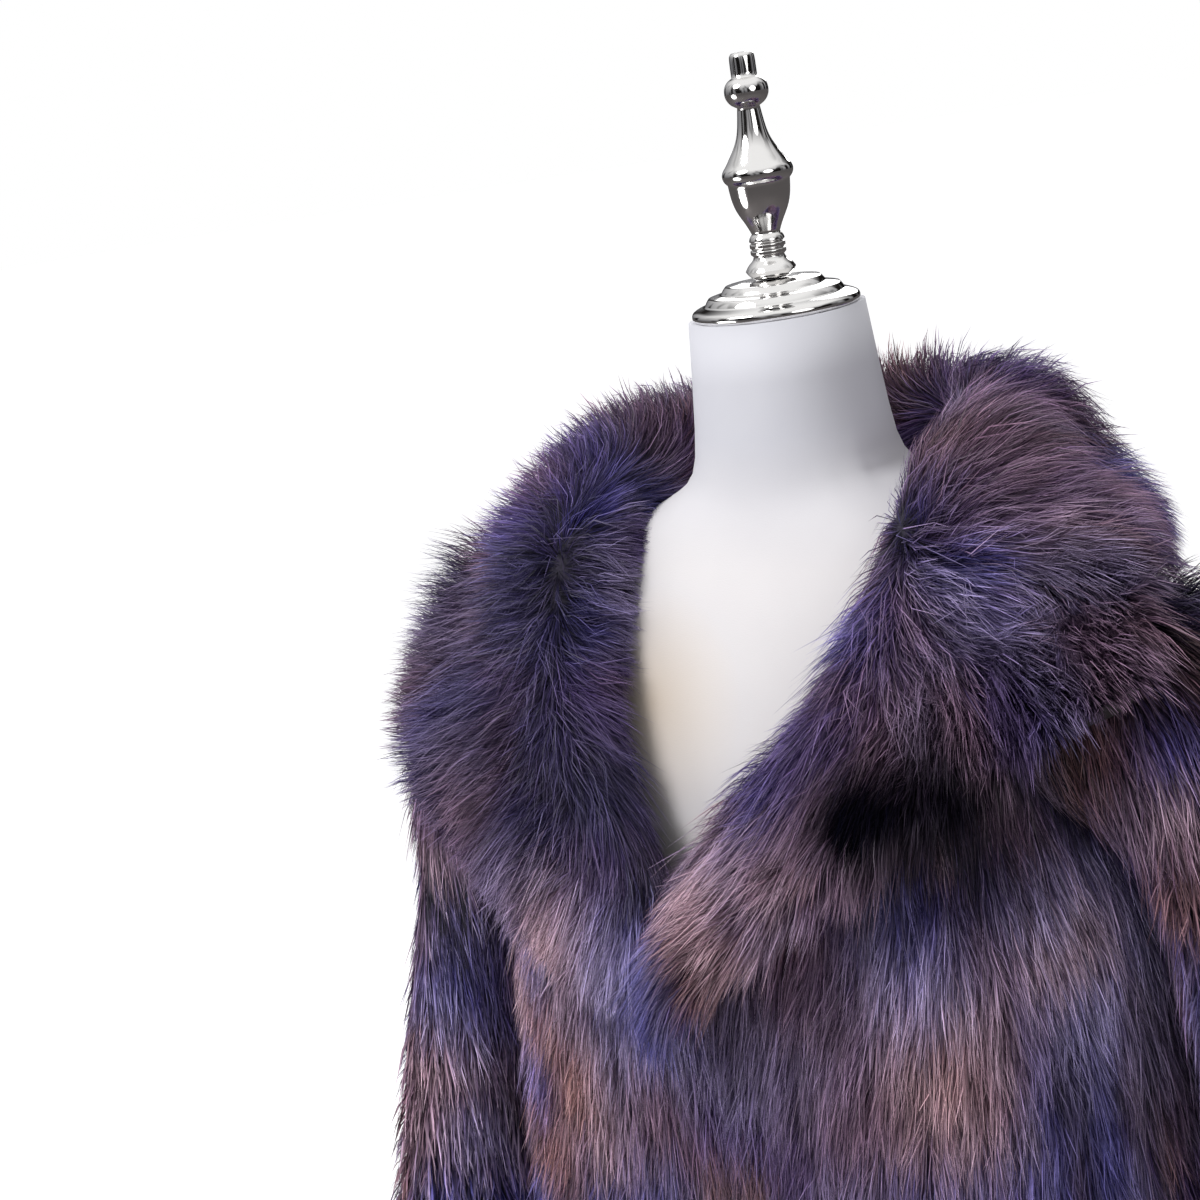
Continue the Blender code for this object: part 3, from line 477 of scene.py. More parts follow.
undercoat = shaded_undercoat_material()
suede = suede_material()
print("skins' finishes:", undercoat.name, "and", suede.name)

# %% Make the skin pieces
DRAWN_IN = 0.7


def skin_piece(name, skin):
    piece = mesh_object(name + "_skin", skin.points + skin.thickness * DRAWN_IN, skin.faces)
    piece.data.materials.append(undercoat)
    piece.data.materials.append(suede)
    slots = [0 if i in skin.hair_side else 1 for i in range(len(skin.faces))]
    piece.data.polygons.foreach_set("material_index", slots)
    piece.data.shade_smooth()
    piece.data.set_sharp_from_angle(angle=SHARP)
    return piece


PIECES = {name: skin_piece(name, skin) for name, skin in SKINS.items()}
print("skins:", sum(len(piece.data.polygons) for piece in PIECES.values()), "faces")

# %% [markdown]
# ## The ground that the hair grows from
#
# Each hair side becomes its own open mesh, smoothed by one subdivision, that is never shown. It carries what
# a groomer decides: which way the hair lies, how far it stands off the skin, how long it is, how thick it
# grows, and how it was dyed. These are attributes on the points of the mesh, and Geometry Nodes reads them.

# %% Make the ground of each piece
Ground = namedtuple("Ground", "piece points normals finder room")


def read_vectors(items, field):
    flat = np.zeros(len(items) * 3)
    items.foreach_get(field, flat)
    return flat.reshape(-1, 3)


def ground_of(name, skin):
    faces = [skin.faces[i] for i in sorted(skin.hair_side)]
    used = sorted({i for face in faces for i in face})
    index = {old: new for new, old in enumerate(used)}
    points = skin.points[used] + skin.thickness[used] * DRAWN_IN
    piece = mesh_object(name + "_ground", points, [[index[i] for i in face] for face in faces])
    room = piece.data.attributes.new("room", "FLOAT", "POINT")
    room.data.foreach_set("value", np.linalg.norm(skin.thickness[used], axis=1) * DRAWN_IN)
    smooth = piece.modifiers.new("smooth", "SUBSURF")
    smooth.levels = smooth.render_levels = 1
    smooth.boundary_smooth = "PRESERVE_CORNERS"
    graph = bpy.context.evaluated_depsgraph_get()
    piece.data = bpy.data.meshes.new_from_object(piece.evaluated_get(graph))
    piece.modifiers.clear()
    mesh = piece.data
    points = read_vectors(mesh.vertices, "co")
    normals = read_vectors(mesh.vertex_normals, "vector")
    room = np.zeros(len(points))
    mesh.attributes["room"].data.foreach_get("value", room)
    finder = BVHTree.FromPolygons([Vector(p) for p in points], [tuple(f.vertices) for f in mesh.polygons])
    return Ground(piece, points, normals, finder, room)


GROUNDS = {name: ground_of(name, skin) for name, skin in SKINS.items()}
for name, ground in GROUNDS.items():
    area = sum(f.area for f in ground.piece.data.polygons)
    print(f"{name}: ground of {len(ground.points)} points, {area:.3f} m2,",
          f"room for hair {ground.room.mean() * 1000:.1f} mm")

# %% [markdown]
# ## Combing
#
# Left alone, hair lies down the coat. Where it doesn't, a groomer's stroke turns it: each stroke below starts
# at a place in the camera's picture, in its 1200 x 1200 squares, and points to where the tips should lie.
# The stroke is laid on the face of the fur that is seen there, or that is nearest where none is seen, and its
# pull fades with distance. Its last number says how much further the hair stands off the skin there. Along
# the crest of each collar half the hair parts, and it is a little tangled there.

# %% List the strokes and the tangled places
Stroke = namedtuple("Stroke", "across down to_across to_down reach stand")
Tangle = namedtuple("Tangle", "across down reach")
COMB = [Stroke(*row) for row in (
    # right collar half, outside its parting: up behind the neck, then out to the side, and down at the bottom
    (675, 410, -5, -60, .035, .014), (640, 415, -15, -55, .035, .018), (600, 425, -25, -50, .035, .014),
    (545, 460, -40, -42, .035, 0), (500, 500, -52, -28, .035, .018), (470, 540, -58, -12, .035, .028),
    (445, 590, -60, 0, .035, .016), (500, 590, -58, -6, .03, .014), (430, 640, -60, 10, .035, .004),
    (490, 645, -58, 6, .03, .008), (415, 700, -56, 24, .035, .016), (480, 700, -55, 20, .035, .008),
    (425, 755, -50, 36, .035, .028), (490, 760, -45, 40, .035, .006), (450, 810, -36, 48, .035, .004),
    (510, 820, -28, 55, .035, .004), (480, 870, -22, 58, .035, .002), (545, 870, -14, 60, .035, .002),
    (600, 880, -4, 60, .035, .002), (520, 930, -12, 60, .03, 0),
    # right collar half, between its parting and the opening
    (650, 450, 25, -20, .025, .004), (620, 490, 40, -30, .025, .004), (590, 540, 50, -15, .025, .004),
    (590, 600, 55, -8, .025, .004), (590, 660, 58, 4, .025, .004), (595, 710, 54, 22, .03, 0),
    (605, 760, 44, 40, .03, -.006), (620, 820, 22, 56, .03, -.01),
    # left collar half, beside the neck: the tips point at the neck and up
    (885, 385, -15, -58, .025, .016), (870, 430, -50, -25, .025, .01), (865, 480, -60, -4, .025, .01),
    (860, 530, -60, 6, .025, -.004),
    # left collar half, high on its parting: up, over the top and out to the side
    (925, 360, -4, -60, .035, .018), (975, 365, 22, -56, .035, .008), (1030, 390, 46, -40, .035, -.016),
    (925, 430, 2, -60, .03, .002), (965, 430, 28, -52, .03, .002), (1010, 440, 52, -30, .03, .002),
    (1060, 395, 52, -28, .03, -.03), (1085, 430, 58, -8, .035, -.028), (940, 490, 36, -46, .025, .004),
    (985, 485, 54, -22, .03, .004), (1050, 480, 60, -2, .035, -.004), (1120, 480, 52, 30, .035, -.014),
    (1090, 510, 59, 12, .03, -.004), (1160, 520, 44, 42, .03, -.006),
    # left collar half, the swoosh from its parting to the shoulder, and the fur below it
    (980, 530, 58, -14, .025, .006), (1035, 530, 60, 4, .025, .006), (1090, 555, 54, 28, .03, .004),
    (928, 540, 57, -18, .018, .004), (925, 585, 58, 10, .018, .004), (908, 630, 53, 26, .018, .004),
    (895, 675, 42, 42, .018, .004), (1130, 590, 38, 48, .03, .002), (1000, 575, 55, 26, .025, .004),
    (1060, 610, 50, 36, .03, .004), (1110, 650, 40, 46, .03, .002), (950, 610, 44, 42, .025, .004),
    (1000, 640, 45, 42, .03, .004), (1060, 680, 36, 50, .03, .002), (930, 660, 36, 50, .03, .004),
    (980, 710, 26, 56, .03, .004), (910, 710, 12, 60, .03, .004), (940, 760, 10, 60, .03, .002),
    # left collar half, between its parting and the opening, and down the lapel
    (880, 555, -58, 4, .018, .002), (872, 600, -58, 12, .018, .002), (855, 640, -56, 22, .02, .002),
    (850, 690, -42, 44, .03, -.008), (870, 740, -12, 60, .03, .004), (800, 730, -46, 42, .03, .002),
    (820, 800, -12, 60, .03, .004), (760, 790, -38, 48, .03, .002), (780, 850, -16, 60, .03, .004),
    (725, 840, -38, 48, .03, .002), (740, 900, -24, 56, .03, .004), (695, 910, -46, 38, .025, .006),
    (790, 920, -16, 60, .03, .002), (690, 950, -40, 46, .025, .004),
    # fronts, from the closure to the sides
    (640, 1000, 8, 60, .035, 0), (680, 1060, 26, 54, .035, 0), (710, 1140, 28, 53, .035, 0),
    (590, 1010, -4, 60, .04, 0), (540, 1050, -2, 60, .04, 0), (600, 1120, 10, 60, .04, 0),
    (800, 980, -18, 58, .04, .002), (770, 1080, -10, 60, .04, 0), (860, 960, -10, 60, .035, .004),
    (930, 920, 14, 58, .03, .004), (880, 840, -6, 60, .03, -.012), (950, 830, 4, 60, .03, -.012),
    (1020, 810, 16, 58, .03, -.008), (900, 1060, -18, 57, .035, .002), (985, 1060, 4, 60, .035, .002),
    (1060, 860, 26, 54, .035, .004), (1020, 960, 18, 57, .035, .002), (1110, 980, 12, 60, .04, .002),
    (1100, 1120, 4, 60, .04, 0),
    # sleeves
    (1190, 575, 42, 42, .03, .04), (1180, 640, 34, 50, .03, .012), (1130, 760, 24, 55, .04, 0),
    (1170, 900, 12, 60, .04, 0), (415, 870, -4, 60, .05, -.022), (412, 960, -3, 60, .06, -.014),
    (405, 1060, -4, 60, .06, -.006),
)]
TANGLES = [Tangle(*row) for row in (
    (905, 470, .016), (918, 525, .02), (900, 575, .018), (882, 625, .018), (866, 680, .016), (560, 480, .018),
    (552, 545, .022), (548, 605, .02), (555, 665, .018), (565, 730, .018),
)]
print(len(COMB), "strokes and", len(TANGLES), "tangled places")

# %% Find the fur at a place in the picture
PICK_FROM, PICK_TO, PICK_STEP = 1.0, 2.3, 0.02
FUR_TOPS = {name: BVHTree.FromPolygons([Vector(p) for p in skin.points],
                                       [skin.faces[i] for i in sorted(skin.hair_side)])
            for name, skin in SKINS.items()}


def look_at(across, down):
    """The direction from the camera through a place in its picture."""
    return (AHEAD + RIGHT * ((across - FRAME_SIDE / 2) / FOCAL)
            - UP * ((down - FRAME_SIDE / 2) / FOCAL)).normalized()


def seen_at(across, down):
    """The name, place and normal of the ground under the fur that is seen at a place, or nearest to it."""
    ray = look_at(across, down)
    found = []
    for name, finder in FUR_TOPS.items():
        place, normal, _, far = finder.ray_cast(EYE, ray)
        if place is not None:
            found.append((far, name, place, normal))
    if not found:
        for step in np.arange(PICK_FROM, PICK_TO, PICK_STEP):
            for name, finder in FUR_TOPS.items():
                place, normal, _, off = finder.find_nearest(EYE + ray * step)
                found.append((off, name, place, normal))
    _, name, top, normal = min(found, key=lambda row: row[0])
    return name, GROUNDS[name].finder.find_nearest(top)[0], normal


print("the fur nearest to the middle of the picture is on", seen_at(FRAME_SIDE / 2, FRAME_SIDE / 2)[0])

# %% Lay the strokes
DOWN = np.array((0.0, 0.0, -1.0))
STROKE_PULL = 2.5
EVEN_ROUNDS = 4
TINY = 1e-6
FLOWS = {}
STANDS = {}
MESSY = {name: np.zeros(len(ground.points)) for name, ground in GROUNDS.items()}


def along_surface(vectors, normals):
    """The part of each vector that lies along the surface, at length one."""
    flat = vectors - normals * (vectors * normals).sum(axis=1, keepdims=True)
    return flat / np.maximum(np.linalg.norm(flat, axis=1, keepdims=True), TINY)


def soft_share(points, place, reach):
    return np.exp(-((points - np.array(place)) ** 2).sum(axis=1) / reach ** 2)


def smoothed(ground, values, rounds):
    """Values on a ground's points, evened out with their neighbours along its edges."""
    edges = np.array([edge.vertices[:] for edge in ground.piece.data.edges])
    for _ in range(rounds):
        total = values.copy()
        count = np.ones((len(values), 1))
        for here, there in (edges.T, edges.T[::-1]):
            np.add.at(total, here, values[there])
            np.add.at(count, here, 1)
        values = total / count
    return values


pulls = {name: [] for name in GROUNDS}
for stroke in COMB:
    name, place, normal = seen_at(stroke.across, stroke.down)
    way = RIGHT * stroke.to_across - UP * stroke.to_down
    way = (way - normal * way.dot(normal)).normalized()
    pulls[name].append((place, way, stroke.reach, stroke.stand))
for name, ground in GROUNDS.items():
    fall = DOWN - ground.normals * (ground.normals @ DOWN)[:, None]
    stand = np.zeros(len(ground.points))
    covered = np.full(len(ground.points), TINY)
    for place, way, reach, up in pulls[name]:
        share = soft_share(ground.points, place, reach)
        fall += STROKE_PULL * share[:, None] * np.array(way)
        stand += share * up
        covered += share
    FLOWS[name] = along_surface(smoothed(ground, fall, EVEN_ROUNDS), ground.normals)
    STANDS[name] = stand / np.maximum(covered, 1.0)
    print(name, "combed by", len(pulls[name]), "strokes")
for tangle in TANGLES:
    name, place, _ = seen_at(tangle.across, tangle.down)
    MESSY[name] = np.maximum(MESSY[name], soft_share(GROUNDS[name].points, place, tangle.reach))

# %% [markdown]
# ## Dyeing
#
# The pelts were dyed in uneven, cloudy patches. Each dye gives one colour to the soft hair near the skin, and
# a paler, greyer one to the tips of the long hair. A slow noise picks between the dyes all over the coat, and
# soft touches in chosen places bring out one dye over the others. A later touch covers an earlier one. The
# black touches are no dye but painted shade, and so is the navy under the collar.

# %% Mix the dyes
Dye = namedtuple("Dye", "soft tips")
DYES = {
    "navy": Dye((0.014, 0.011, 0.056), (0.105, 0.090, 0.215)),
    "blue": Dye((0.030, 0.027, 0.200), (0.200, 0.185, 0.560)),
    "violet": Dye((0.040, 0.020, 0.105), (0.215, 0.145, 0.340)),
    "mauve": Dye((0.072, 0.035, 0.072), (0.370, 0.230, 0.335)),
    "brown": Dye((0.095, 0.040, 0.042), (0.390, 0.205, 0.200)),
    "haze": Dye((0.075, 0.056, 0.125), (0.385, 0.320, 0.520)),
    "lavender": Dye((0.130, 0.110, 0.270), (0.640, 0.560, 0.900)),
    "rose": Dye((0.210, 0.115, 0.145), (0.850, 0.590, 0.690)),
    "copper": Dye((0.200, 0.080, 0.070), (0.760, 0.420, 0.380)),
    # not a dye but painted shade, laid where shade falls under the collar, in the V and between locks
    "painted_shade": Dye((0.001, 0.001, 0.004), (0.002, 0.002, 0.006)),
}
CLOUD_SIZE = 0.085
CLOUD_OFFSET = (3.1, 0.4, 7.7)
CLOUD_FROM, CLOUD_SPAN = 0.2, 0.6
CLOUD_DYES = ("navy", "violet", "mauve", "haze", "brown", "violet", "haze", "blue", "navy", "mauve")


def cloudy_dye(points):
    """The soft and the tip colour at each point, one after the other, as six numbers."""
    cloud = np.array([noise.noise(Vector(p) / CLOUD_SIZE + Vector(CLOUD_OFFSET)) for p in points]) * 0.5 + 0.5
    value = np.clip((cloud - CLOUD_FROM) / CLOUD_SPAN, 0, 1)
    places = np.linspace(0, 1, len(CLOUD_DYES))
    colours = np.array([DYES[dye].soft + DYES[dye].tips for dye in CLOUD_DYES])
    return np.stack([np.interp(value, places, channel) for channel in colours.T], axis=1)


COLOURS = {name: cloudy_dye(ground.points) for name, ground in GROUNDS.items()}
print(len(DYES), "dyes, in clouds of", CLOUD_SIZE, "m")

# %% Touch up chosen places
TOUCH_SPREAD = 1.25
TOUCH_STRENGTH = 1.2
Touch = namedtuple("Touch", "across down dye reach share")
TOUCHES = [Touch(*row) for row in (
    # right collar half; its black touches, and the navy one low on its inner side, are painted shade
    (600, 425, "blue", .022, .5), (650, 420, "mauve", .025, .7), (545, 465, "violet", .03, .6),
    (515, 490, "brown", .02, .6), (500, 535, "blue", .028, .6), (525, 560, "navy", .022, .8),
    (450, 580, "navy", .03, .8), (490, 620, "navy", .035, .8), (425, 640, "haze", .025, .9),
    (450, 660, "haze", .022, .6), (540, 660, "navy", .03, .8), (400, 710, "mauve", .022, .7),
    (470, 720, "navy", .03, .8), (530, 750, "navy", .035, .8), (430, 780, "haze", .025, .9),
    (450, 830, "mauve", .022, .7), (520, 830, "navy", .03, .8), (590, 850, "navy", .03, .8),
    (480, 890, "haze", .022, .5), (540, 915, "haze", .022, .5), (600, 900, "violet", .02, .6),
    (650, 470, "painted_shade", .025, .6), (590, 560, "painted_shade", .022, .4), (625, 600, "haze", .016, .6),
    (625, 680, "haze", .016, .6), (610, 720, "violet", .025, .6), (630, 800, "navy", .03, .7),
    # left collar half; its black touches are painted shade at its corner and under its edge
    (895, 370, "brown", .022, .7), (950, 365, "violet", .03, .5), (1000, 400, "mauve", .03, .5),
    (920, 420, "violet", .022, .7), (965, 425, "brown", .022, .6), (905, 500, "blue", .022, .7),
    (905, 455, "violet", .014, .7), (985, 490, "navy", .025, .8), (1060, 460, "mauve", .035, .8),
    (1130, 500, "mauve", .03, .8), (960, 540, "rose", .01, .7), (1010, 532, "rose", .014, .8),
    (1075, 540, "rose", .016, .8), (1000, 562, "blue", .02, .8), (1060, 590, "haze", .022, .8),
    (1110, 610, "haze", .02, .8), (930, 590, "navy", .02, .6), (960, 610, "lavender", .016, .8),
    (1172, 655, "painted_shade", .02, 1), (860, 645, "blue", .02, .6), (920, 650, "mauve", .022, .7),
    (1000, 650, "lavender", .018, .6), (1060, 650, "haze", .024, .8), (1110, 670, "mauve", .02, .8),
    (1085, 740, "painted_shade", .016, .9), (960, 700, "haze", .022, .7), (1010, 715, "violet", .018, .8),
    (1030, 690, "haze", .02, .7), (900, 720, "mauve", .025, .7), (940, 750, "brown", .016, .7),
    (850, 760, "mauve", .025, .8), (790, 780, "violet", .025, .8), (750, 830, "blue", .018, .8),
    (820, 850, "mauve", .025, .8), (720, 890, "lavender", .018, .7), (690, 900, "rose", .016, .9),
    (760, 900, "rose", .016, .7), (800, 940, "brown", .022, .7), (715, 950, "rose", .018, .8),
    (680, 930, "rose", .014, .8),
    # painted shade under the collar, at its corner and in the V: navy all over and black at the collar's edge
    (870, 905, "navy", .026, .9), (920, 902, "navy", .028, .9), (970, 888, "navy", .028, .9),
    (1020, 860, "navy", .026, .9), (1060, 810, "navy", .02, .9), (848, 850, "painted_shade", .014, 1),
    (868, 820, "painted_shade", .018, 1), (905, 804, "painted_shade", .018, 1), (945, 795, "painted_shade", .018, 1),
    (985, 790, "painted_shade", .018, 1), (880, 857, "painted_shade", .024, 1), (920, 849, "painted_shade", .024, 1),
    (960, 837, "painted_shade", .024, 1), (1000, 818, "painted_shade", .018, .9), (860, 898, "painted_shade", .016, .9),
    (902, 880, "painted_shade", .018, .9), (945, 868, "painted_shade", .016, .8), (890, 735, "mauve", .016, .9),
    (930, 730, "haze", .014, .7), (975, 735, "mauve", .014, .9), (1020, 730, "violet", .012, .8),
    (1070, 780, "painted_shade", .014, .8), (645, 915, "painted_shade", .012, .8), (1184, 612, "painted_shade", .02, 1),
    (1175, 700, "painted_shade", .018, .9), (1152, 735, "painted_shade", .016, .9),
    # right front and sleeve; the small black touch is painted shade between locks
    (630, 1000, "blue", .02, .9), (665, 1040, "blue", .018, .9), (590, 990, "lavender", .025, 1),
    (690, 1085, "lavender", .02, .9), (705, 1030, "lavender", .018, .8), (540, 960, "rose", .025, .9),
    (520, 1010, "rose", .025, .9), (560, 1020, "rose", .02, .8), (545, 985, "lavender", .018, .6),
    (545, 1060, "copper", .014, .9), (575, 1115, "copper", .022, .9), (600, 1090, "rose", .018, .6),
    (520, 1140, "rose", .018, .8), (630, 1080, "lavender", .022, .8), (550, 1175, "copper", .02, .9),
    (660, 1130, "mauve", .025, .8), (720, 1150, "violet", .016, .6), (610, 1170, "rose", .02, .8),
    (420, 910, "rose", .022, 1), (415, 970, "rose", .02, .9), (460, 960, "lavender", .025, .9),
    (450, 1005, "lavender", .02, .9), (460, 1030, "blue", .022, .9), (470, 1070, "lavender", .022, .8),
    (415, 1040, "lavender", .022, .9), (430, 1110, "rose", .028, .9), (480, 1160, "lavender", .025, .8),
    (410, 1160, "rose", .025, .8), (508, 1130, "painted_shade", .008, .7),
    # left front and sleeve; the small black touch is painted shade between locks, and the pale lavender and
    # rose touches on the middle of the front are partly dye and partly painted light, where more light falls
    (920, 960, "blue", .02, .9), (870, 965, "lavender", .018, .5), (950, 1010, "lavender", .018, .9),
    (880, 1025, "lavender", .022, .8), (945, 905, "rose", .008, .7), (830, 1040, "mauve", .022, .7),
    (985, 1070, "rose", .022, .8), (945, 1120, "copper", .018, .8), (900, 1090, "rose", .02, .6),
    (1000, 970, "mauve", .022, .8), (990, 930, "navy", .016, .8), (1050, 1060, "painted_shade", .01, .8),
    (1035, 860, "mauve", .02, .8), (1080, 820, "navy", .018, .8), (1105, 885, "lavender", .016, .8),
    (1060, 940, "lavender", .018, .8), (1060, 1000, "rose", .016, .7), (1140, 960, "lavender", .02, .9),
    (1100, 1040, "lavender", .02, .8), (1150, 1080, "haze", .025, .8), (1095, 960, "rose", .016, .7),
    (1130, 800, "brown", .03, .8), (1150, 860, "navy", .022, .6), (1185, 770, "blue", .018, .7),
    (1190, 850, "rose", .016, .6), (1180, 930, "brown", .025, .7), (780, 1040, "mauve", .025, .9),
    (800, 1120, "haze", .025, .8), (740, 1060, "haze", .022, .8), (860, 1160, "mauve", .03, .8),
    (960, 1160, "rose", .025, .6),
)]
for touch in TOUCHES:
    name, place, _ = seen_at(touch.across, touch.down)
    share = soft_share(GROUNDS[name].points, place, touch.reach * TOUCH_SPREAD)[:, None]
    share = np.minimum(share * touch.share * TOUCH_STRENGTH, 1)
    dye = np.array(DYES[touch.dye].soft + DYES[touch.dye].tips)
    COLOURS[name] = COLOURS[name] * (1 - share) + dye * share
print(len(TOUCHES), "touches")

# %% [markdown]
# ## Trimming
#
# At a hem, a cuff or the collar's rim a furrier turns the skin under, and the hair beside the edge is short
# or bends back with it. So hair that would pass an edge is trimmed here, the more the nearer it grows to the
# edge and the straighter it points across it. Seams between two pieces are no edges, and hair covers them.

# %% Find the edges where the hair ends
SEAM_REACH = 0.012
EDGE_REACH = 0.065
EDGE_TRIM = 0.85
SOFT_RIM = {"coat_collar_left": 0.80}
AT_THE_EDGE = 1e-4


def border_points(ground):
    """The points on the open edges of a ground."""
    times = {}
    for face in ground.piece.data.polygons:
        for key in face.edge_keys:
            times[key] = times.get(key, 0) + 1
    ends = sorted({i for key, count in times.items() if count == 1 for i in key})
    return ground.points[ends]


def finder_of(points):
    tree = KDTree(len(points))
    for i, place in enumerate(points):
        tree.insert(Vector(place), i)
    tree.balance()
    return tree


def trimmed(name):
    """How much of its length each hair keeps."""
    others = finder_of(np.vstack([BORDERS[other] for other in GROUNDS if other != name]))
    nearest = finder_of([p for p in BORDERS[name] if others.find(Vector(p))[2] > SEAM_REACH])
    trim = SOFT_RIM.get(name, EDGE_TRIM)
    share = np.ones(len(GROUNDS[name].points))
    for i, (point, flow) in enumerate(zip(GROUNDS[name].points, FLOWS[name])):
        there, _, far = nearest.find(Vector(point))
        towards = (there - Vector(point)).normalized() if far > AT_THE_EDGE else Vector(flow)
        leaving = max(0.0, towards.dot(Vector(flow)))
        share[i] -= trim * max(0.0, 1 - far / EDGE_REACH) * leaving
    return share


BORDERS = {name: border_points(ground) for name, ground in GROUNDS.items()}
TRIMMED = {name: trimmed(name) for name in GROUNDS}
for name, share in TRIMMED.items():
    print(f"{name}: hair trimmed to {share.min():.2f} of its length at the rim,",
          f"{share.mean():.2f} on average")

# %% Write what the groomer decided on each ground
HAIR_LENGTH = 0.055
COLLAR_LENGTH = 0.058
FLUFF = 1.15
LEAST_LIFT = 0.006
RIM_LIES = 0.35
FINE_CENTRE = np.array((0.03, -0.16, 1.24))
FINE_REACH = 0.46
FINE_EDGE = 1.6
FINEST = 1.0
COARSEST = 0.14
STORED_IN = {"FLOAT": "value", "FLOAT_VECTOR": "vector"}


def store(mesh, name, kind, values):
    attribute = mesh.attributes.new(name, kind, "POINT")
    attribute.data.foreach_set(STORED_IN[kind], np.ascontiguousarray(values, dtype=np.float32).ravel())


for name, ground in GROUNDS.items():
    mesh = ground.piece.data
    away = np.linalg.norm(ground.points - FINE_CENTRE, axis=1)
    near = np.clip(FINE_EDGE - away / FINE_REACH * FINE_EDGE, 0, 1)
    room = np.maximum(ground.room, LEAST_LIFT) * FLUFF * TRIMMED[name] ** RIM_LIES
    length = COLLAR_LENGTH if "collar" in name else HAIR_LENGTH
    for label, values in (("lift", room + STANDS[name]), ("reach", TRIMMED[name] * length),
                          ("thick", COARSEST + (FINEST - COARSEST) * near), ("mess", MESSY[name])):
        store(mesh, label, "FLOAT", values)
    for label, values in (("flow", FLOWS[name]), ("up", ground.normals),
                          ("soft", COLOURS[name][:, :3]), ("tips", COLOURS[name][:, 3:])):
        store(mesh, label, "FLOAT_VECTOR", values)
print("groomed", len(GROUNDS), "grounds")

# %% [markdown]
# ## One hair
#
# A hair is a narrow ribbon that ends in a point. It is made once, flat, and each of its points only knows
# its step along the hair and its side. Where it really goes is worked out later for each copy. The long guard
# hair bends, in two steps. The soft underfur between it is short, and one step is enough.

# %% Make the two ribbons
def ribbon(name, steps):
    points = [(step, side, 0) for step in range(steps) for side in (-1, 1)] + [(steps, 0, 0)]
    faces = [(a, a + 2, a + 3, a + 1) for a in range(0, 2 * steps - 2, 2)]
    faces.append((2 * steps - 2, 2 * steps, 2 * steps - 1))
    made = mesh_object(name, points, faces)
    store(made.data, "step", "FLOAT", [p[0] for p in points])
    store(made.data, "side", "FLOAT", [p[1] for p in points])
    store(made.data, "along", "FLOAT", [p[0] / steps for p in points])
    return made


RIBBONS = {steps: ribbon(f"hair_of_{steps}_steps", steps) for steps in (1, 2)}
print("ribbons:", [len(made.data.polygons) for made in RIBBONS.values()], "faces")

# %% [markdown]
# ## A coat of hair by Geometry Nodes
#
# Hair could be made with Blender's own hair curves, but those don't leave it as plain meshes. Here the node
# tree makes the meshes itself. It is written in five steps, and each is a function that adds its nodes to the
# tree. First come a few helpers, and the names of what the tree is given from outside.

# %% Write the helpers for the tree
TREE_INPUTS = {
    "Ground": "Geometry", "Ribbon": "Object", "Hair": "Material", "Hairs per square metre": "Float",
    "Hair width": "Float", "Long": "Float", "High": "Float", "Guard": "Float", "Large lock": "Float",
    "Small lock": "Float", "Large pull": "Float", "Small pull": "Float", "Stray": "Float", "Ripple": "Float",
    "Twist": "Float", "Seed": "Int",
}
SEED_SHIFTS = {"long": 1, "high": 2, "astray": 3, "tone": 4, "turn": 5, "wide": 6}


def new_tree(name):
    """An empty tree, and the identifier of each of its inputs."""
    tree = bpy.data.node_groups.new(name, "GeometryNodeTree")
    names = {}
    for label, kind in TREE_INPUTS.items():
        socket = tree.interface.new_socket(label, in_out="INPUT", socket_type="NodeSocket" + kind)
        names[label] = socket.identifier
    tree.interface.new_socket("Geometry", in_out="OUTPUT", socket_type="NodeSocketGeometry")
    return tree, names


def named(tree, name, kind="FLOAT"):
    return add(tree, "GeometryNodeInputNamedAttribute", {"Name": name}, data_type=kind).outputs["Attribute"]


def arrow(tree, name):
    return named(tree, name, "FLOAT_VECTOR")


def vector(tree, operation, *values):
    slots = (0, 3) if operation == "SCALE" else (0, 1)
    node = add(tree, "ShaderNodeVectorMath", dict(zip(slots, values)), operation=operation)
    return node.outputs["Value" if operation in ("DOT_PRODUCT", "LENGTH") else "Vector"]


def keep(tree, geometry, name, value, kind="FLOAT", domain="POINT"):
    return add(tree, "GeometryNodeStoreNamedAttribute", {"Geometry": geometry, "Name": name, "Value": value},
               data_type=kind, domain=domain).outputs["Geometry"]


def chance(tree, given, name, low, high):
    """A random number, or a random vector between two vectors, for each hair."""
    seed = number(tree, "ADD", given["Seed"], SEED_SHIFTS[name])
    if isinstance(low, tuple):
        return add(tree, "FunctionNodeRandomValue", {0: low, 1: high, "Seed": seed},
                   data_type="FLOAT_VECTOR").outputs[0]
    return add(tree, "FunctionNodeRandomValue", {2: low, 3: high, "Seed": seed}, data_type="FLOAT").outputs[1]


def at_nearest(tree, ground, value, place):
    return add(tree, "GeometryNodeSampleNearestSurface", {0: ground, 1: value, 3: place},
               data_type="FLOAT_VECTOR").outputs[0]


print("the tree is given", ", ".join(TREE_INPUTS))

# %% [markdown]
# Roots are scattered on the ground, as thickly as its attribute says. Each gets its own length, and its own
# height over the skin. What a hair covers along the ground is the third side of that triangle.
#
# From each root the path walks over the ground in one or two steps, asks at every step which way the hair
# lies there, wavers a little, and rises to its own height. Its dye is the one at the tip, because that is
# what is seen at that place.

# %% Scatter the roots and walk their paths
LONG_RANGE = (0.45, 1.20)
HIGH_RANGE = (0.35, 1.2)
LEAST_FLAT = 0.4
RIPPLES = 70.0
MEAN_NOISE = (0.5, 0.5, 0.5)
MESSIEST = 4.0
HEIGHTS = {1: (1.0,), 2: (0.72, 1.0)}


